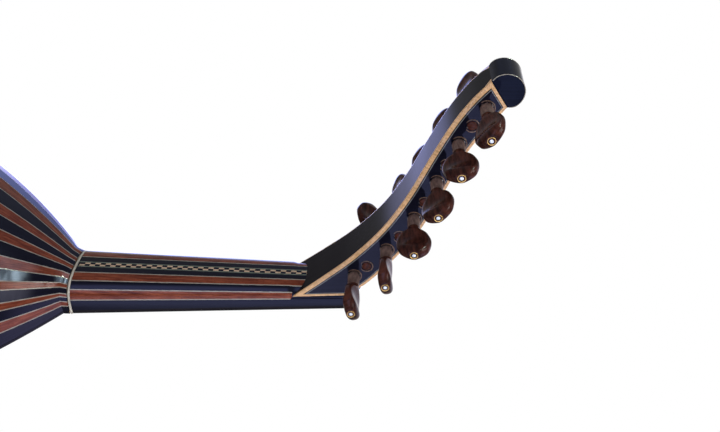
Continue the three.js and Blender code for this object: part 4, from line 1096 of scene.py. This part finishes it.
# A tie's height over the board where it starts, its sway and drift along the bridge in string radii, and
# how closely it is pressed to the bar
tie_height, tie_sway, tie_drift, tie_press, tie_seat, tie_power = 6.6, 1.3, 2.2, 0.95, 0.93, 0.6
ties = []
tie = np.linspace(0, 1, 60)
sweep = np.sin(2 * np.pi * tie)
for number, lane in enumerate(lanes(bridge_spread, bridge_pair_gap)):
    radius = string_radius(number)
    over = bridge_height + glue - tie_height + radius * tie_press
    line = pack(lane + radius * (tie_sway * sweep + tie_drift * tie),
                -tie_height - over * np.clip(sweep, 0, 1) ** tie_power,
                bridge_level + (bridge_half * tie_seat + radius) * np.cos(2 * np.pi * tie))
    ties.append(tube(line, radius * tie_press, 8, int(number >= wound_count)))
piece("string_ties", ties, [string_wound, string_nylon])

# The pick plate: a thin leaf of rosewood glued to the soundboard between bridge and rosettes, its edge
# rounded over.
leaf_low, leaf_length, leaf_half = -552.0, 88.0, 30.0
way = np.linspace(0, 1, 81)[:, None]
# Half of the leaf's edge is one cubic curve, pulled towards the two middle ones of four places
pulls = np.array([(0, 0), (leaf_half, 0), (leaf_half * 1.2, leaf_length * 0.45), (0, leaf_length)])
leaf = ((1 - way) ** 3 * pulls[0] + 3 * (1 - way) ** 2 * way * pulls[1]
        + 3 * (1 - way) * way ** 2 * pulls[2] + way ** 3 * pulls[3])
leaf = np.concatenate([leaf, leaf[1:-1][::-1] * (-1, 1)]) + (0, leaf_low)
leaf_middle = np.array([0, leaf_low + leaf_length * 0.42])
leaf_layers = [(1.0, -0.3), (1.0, -0.72), (0.992, -0.86), (0.975, -0.9), (0.6, -0.9), (0.2, -0.9),
               (0.01, -0.9)]
leaf_rings = np.stack([on_board(leaf_middle + (leaf - leaf_middle) * scale, depth)
                       for scale, depth in leaf_layers])
piece("pick_leaf", [skin(leaf_rings, leaf_rings[..., [0, 2]])], [bridge_wood], "pick_plate",
      crease=40)

# The tail cap: a half disc of ebony bent over the place where the ribs meet at the tail, and glued on. Its
# upper edge is eased.
cap_gap, cap_thickness, cap_ease, cap_points = 0.3, 2.0, 0.5, 61
cap_drops = tail_drop(np.array([29.0, 26.0, 22.0, 18.0, 13.0, 9.0, 4.0]))
cap_shares = np.linspace(0, 1, cap_points)
cap_skin, cap_out = bowl(cap_drops, cap_shares)[0], bowl_outwards(cap_drops, cap_shares)
pole = np.broadcast_to([0, rim_depth, joint_level - body_length], (1, cap_points, 3))
cap_heights = (cap_gap + cap_thickness - cap_ease * (cap_drops == cap_drops[0]))[:, None, None]
under = np.concatenate([cap_skin + cap_out * cap_gap, pole + (0, 0, -cap_gap)])
top = np.concatenate([cap_skin + cap_out * cap_heights, pole + (0, 0, -cap_gap - cap_thickness)])
cap_rings = np.concatenate([under, top[::-1]]).transpose(1, 0, 2)
piece("tail_cap_shell", [skin(cap_rings, cap_rings[..., :2])], [ebony_lacquered],
      "tail_cap")

# The blocks: softwood, inside the bowl at the neck and at the tail, left as sawn. The ribs' ends are glued
# to them.
block_wood = wood("block_wood", (0.30, 0.19, 0.095), (0.50, 0.34, 0.19), {"IOR": 1.4}, own_map=False,
                  streak=(0.0012, 0.06), pore=0.15, shine=(0.55, 0.7))
for name in ("neck_block", "tail_block"):
    dress(name, block_wood, "block_wood")
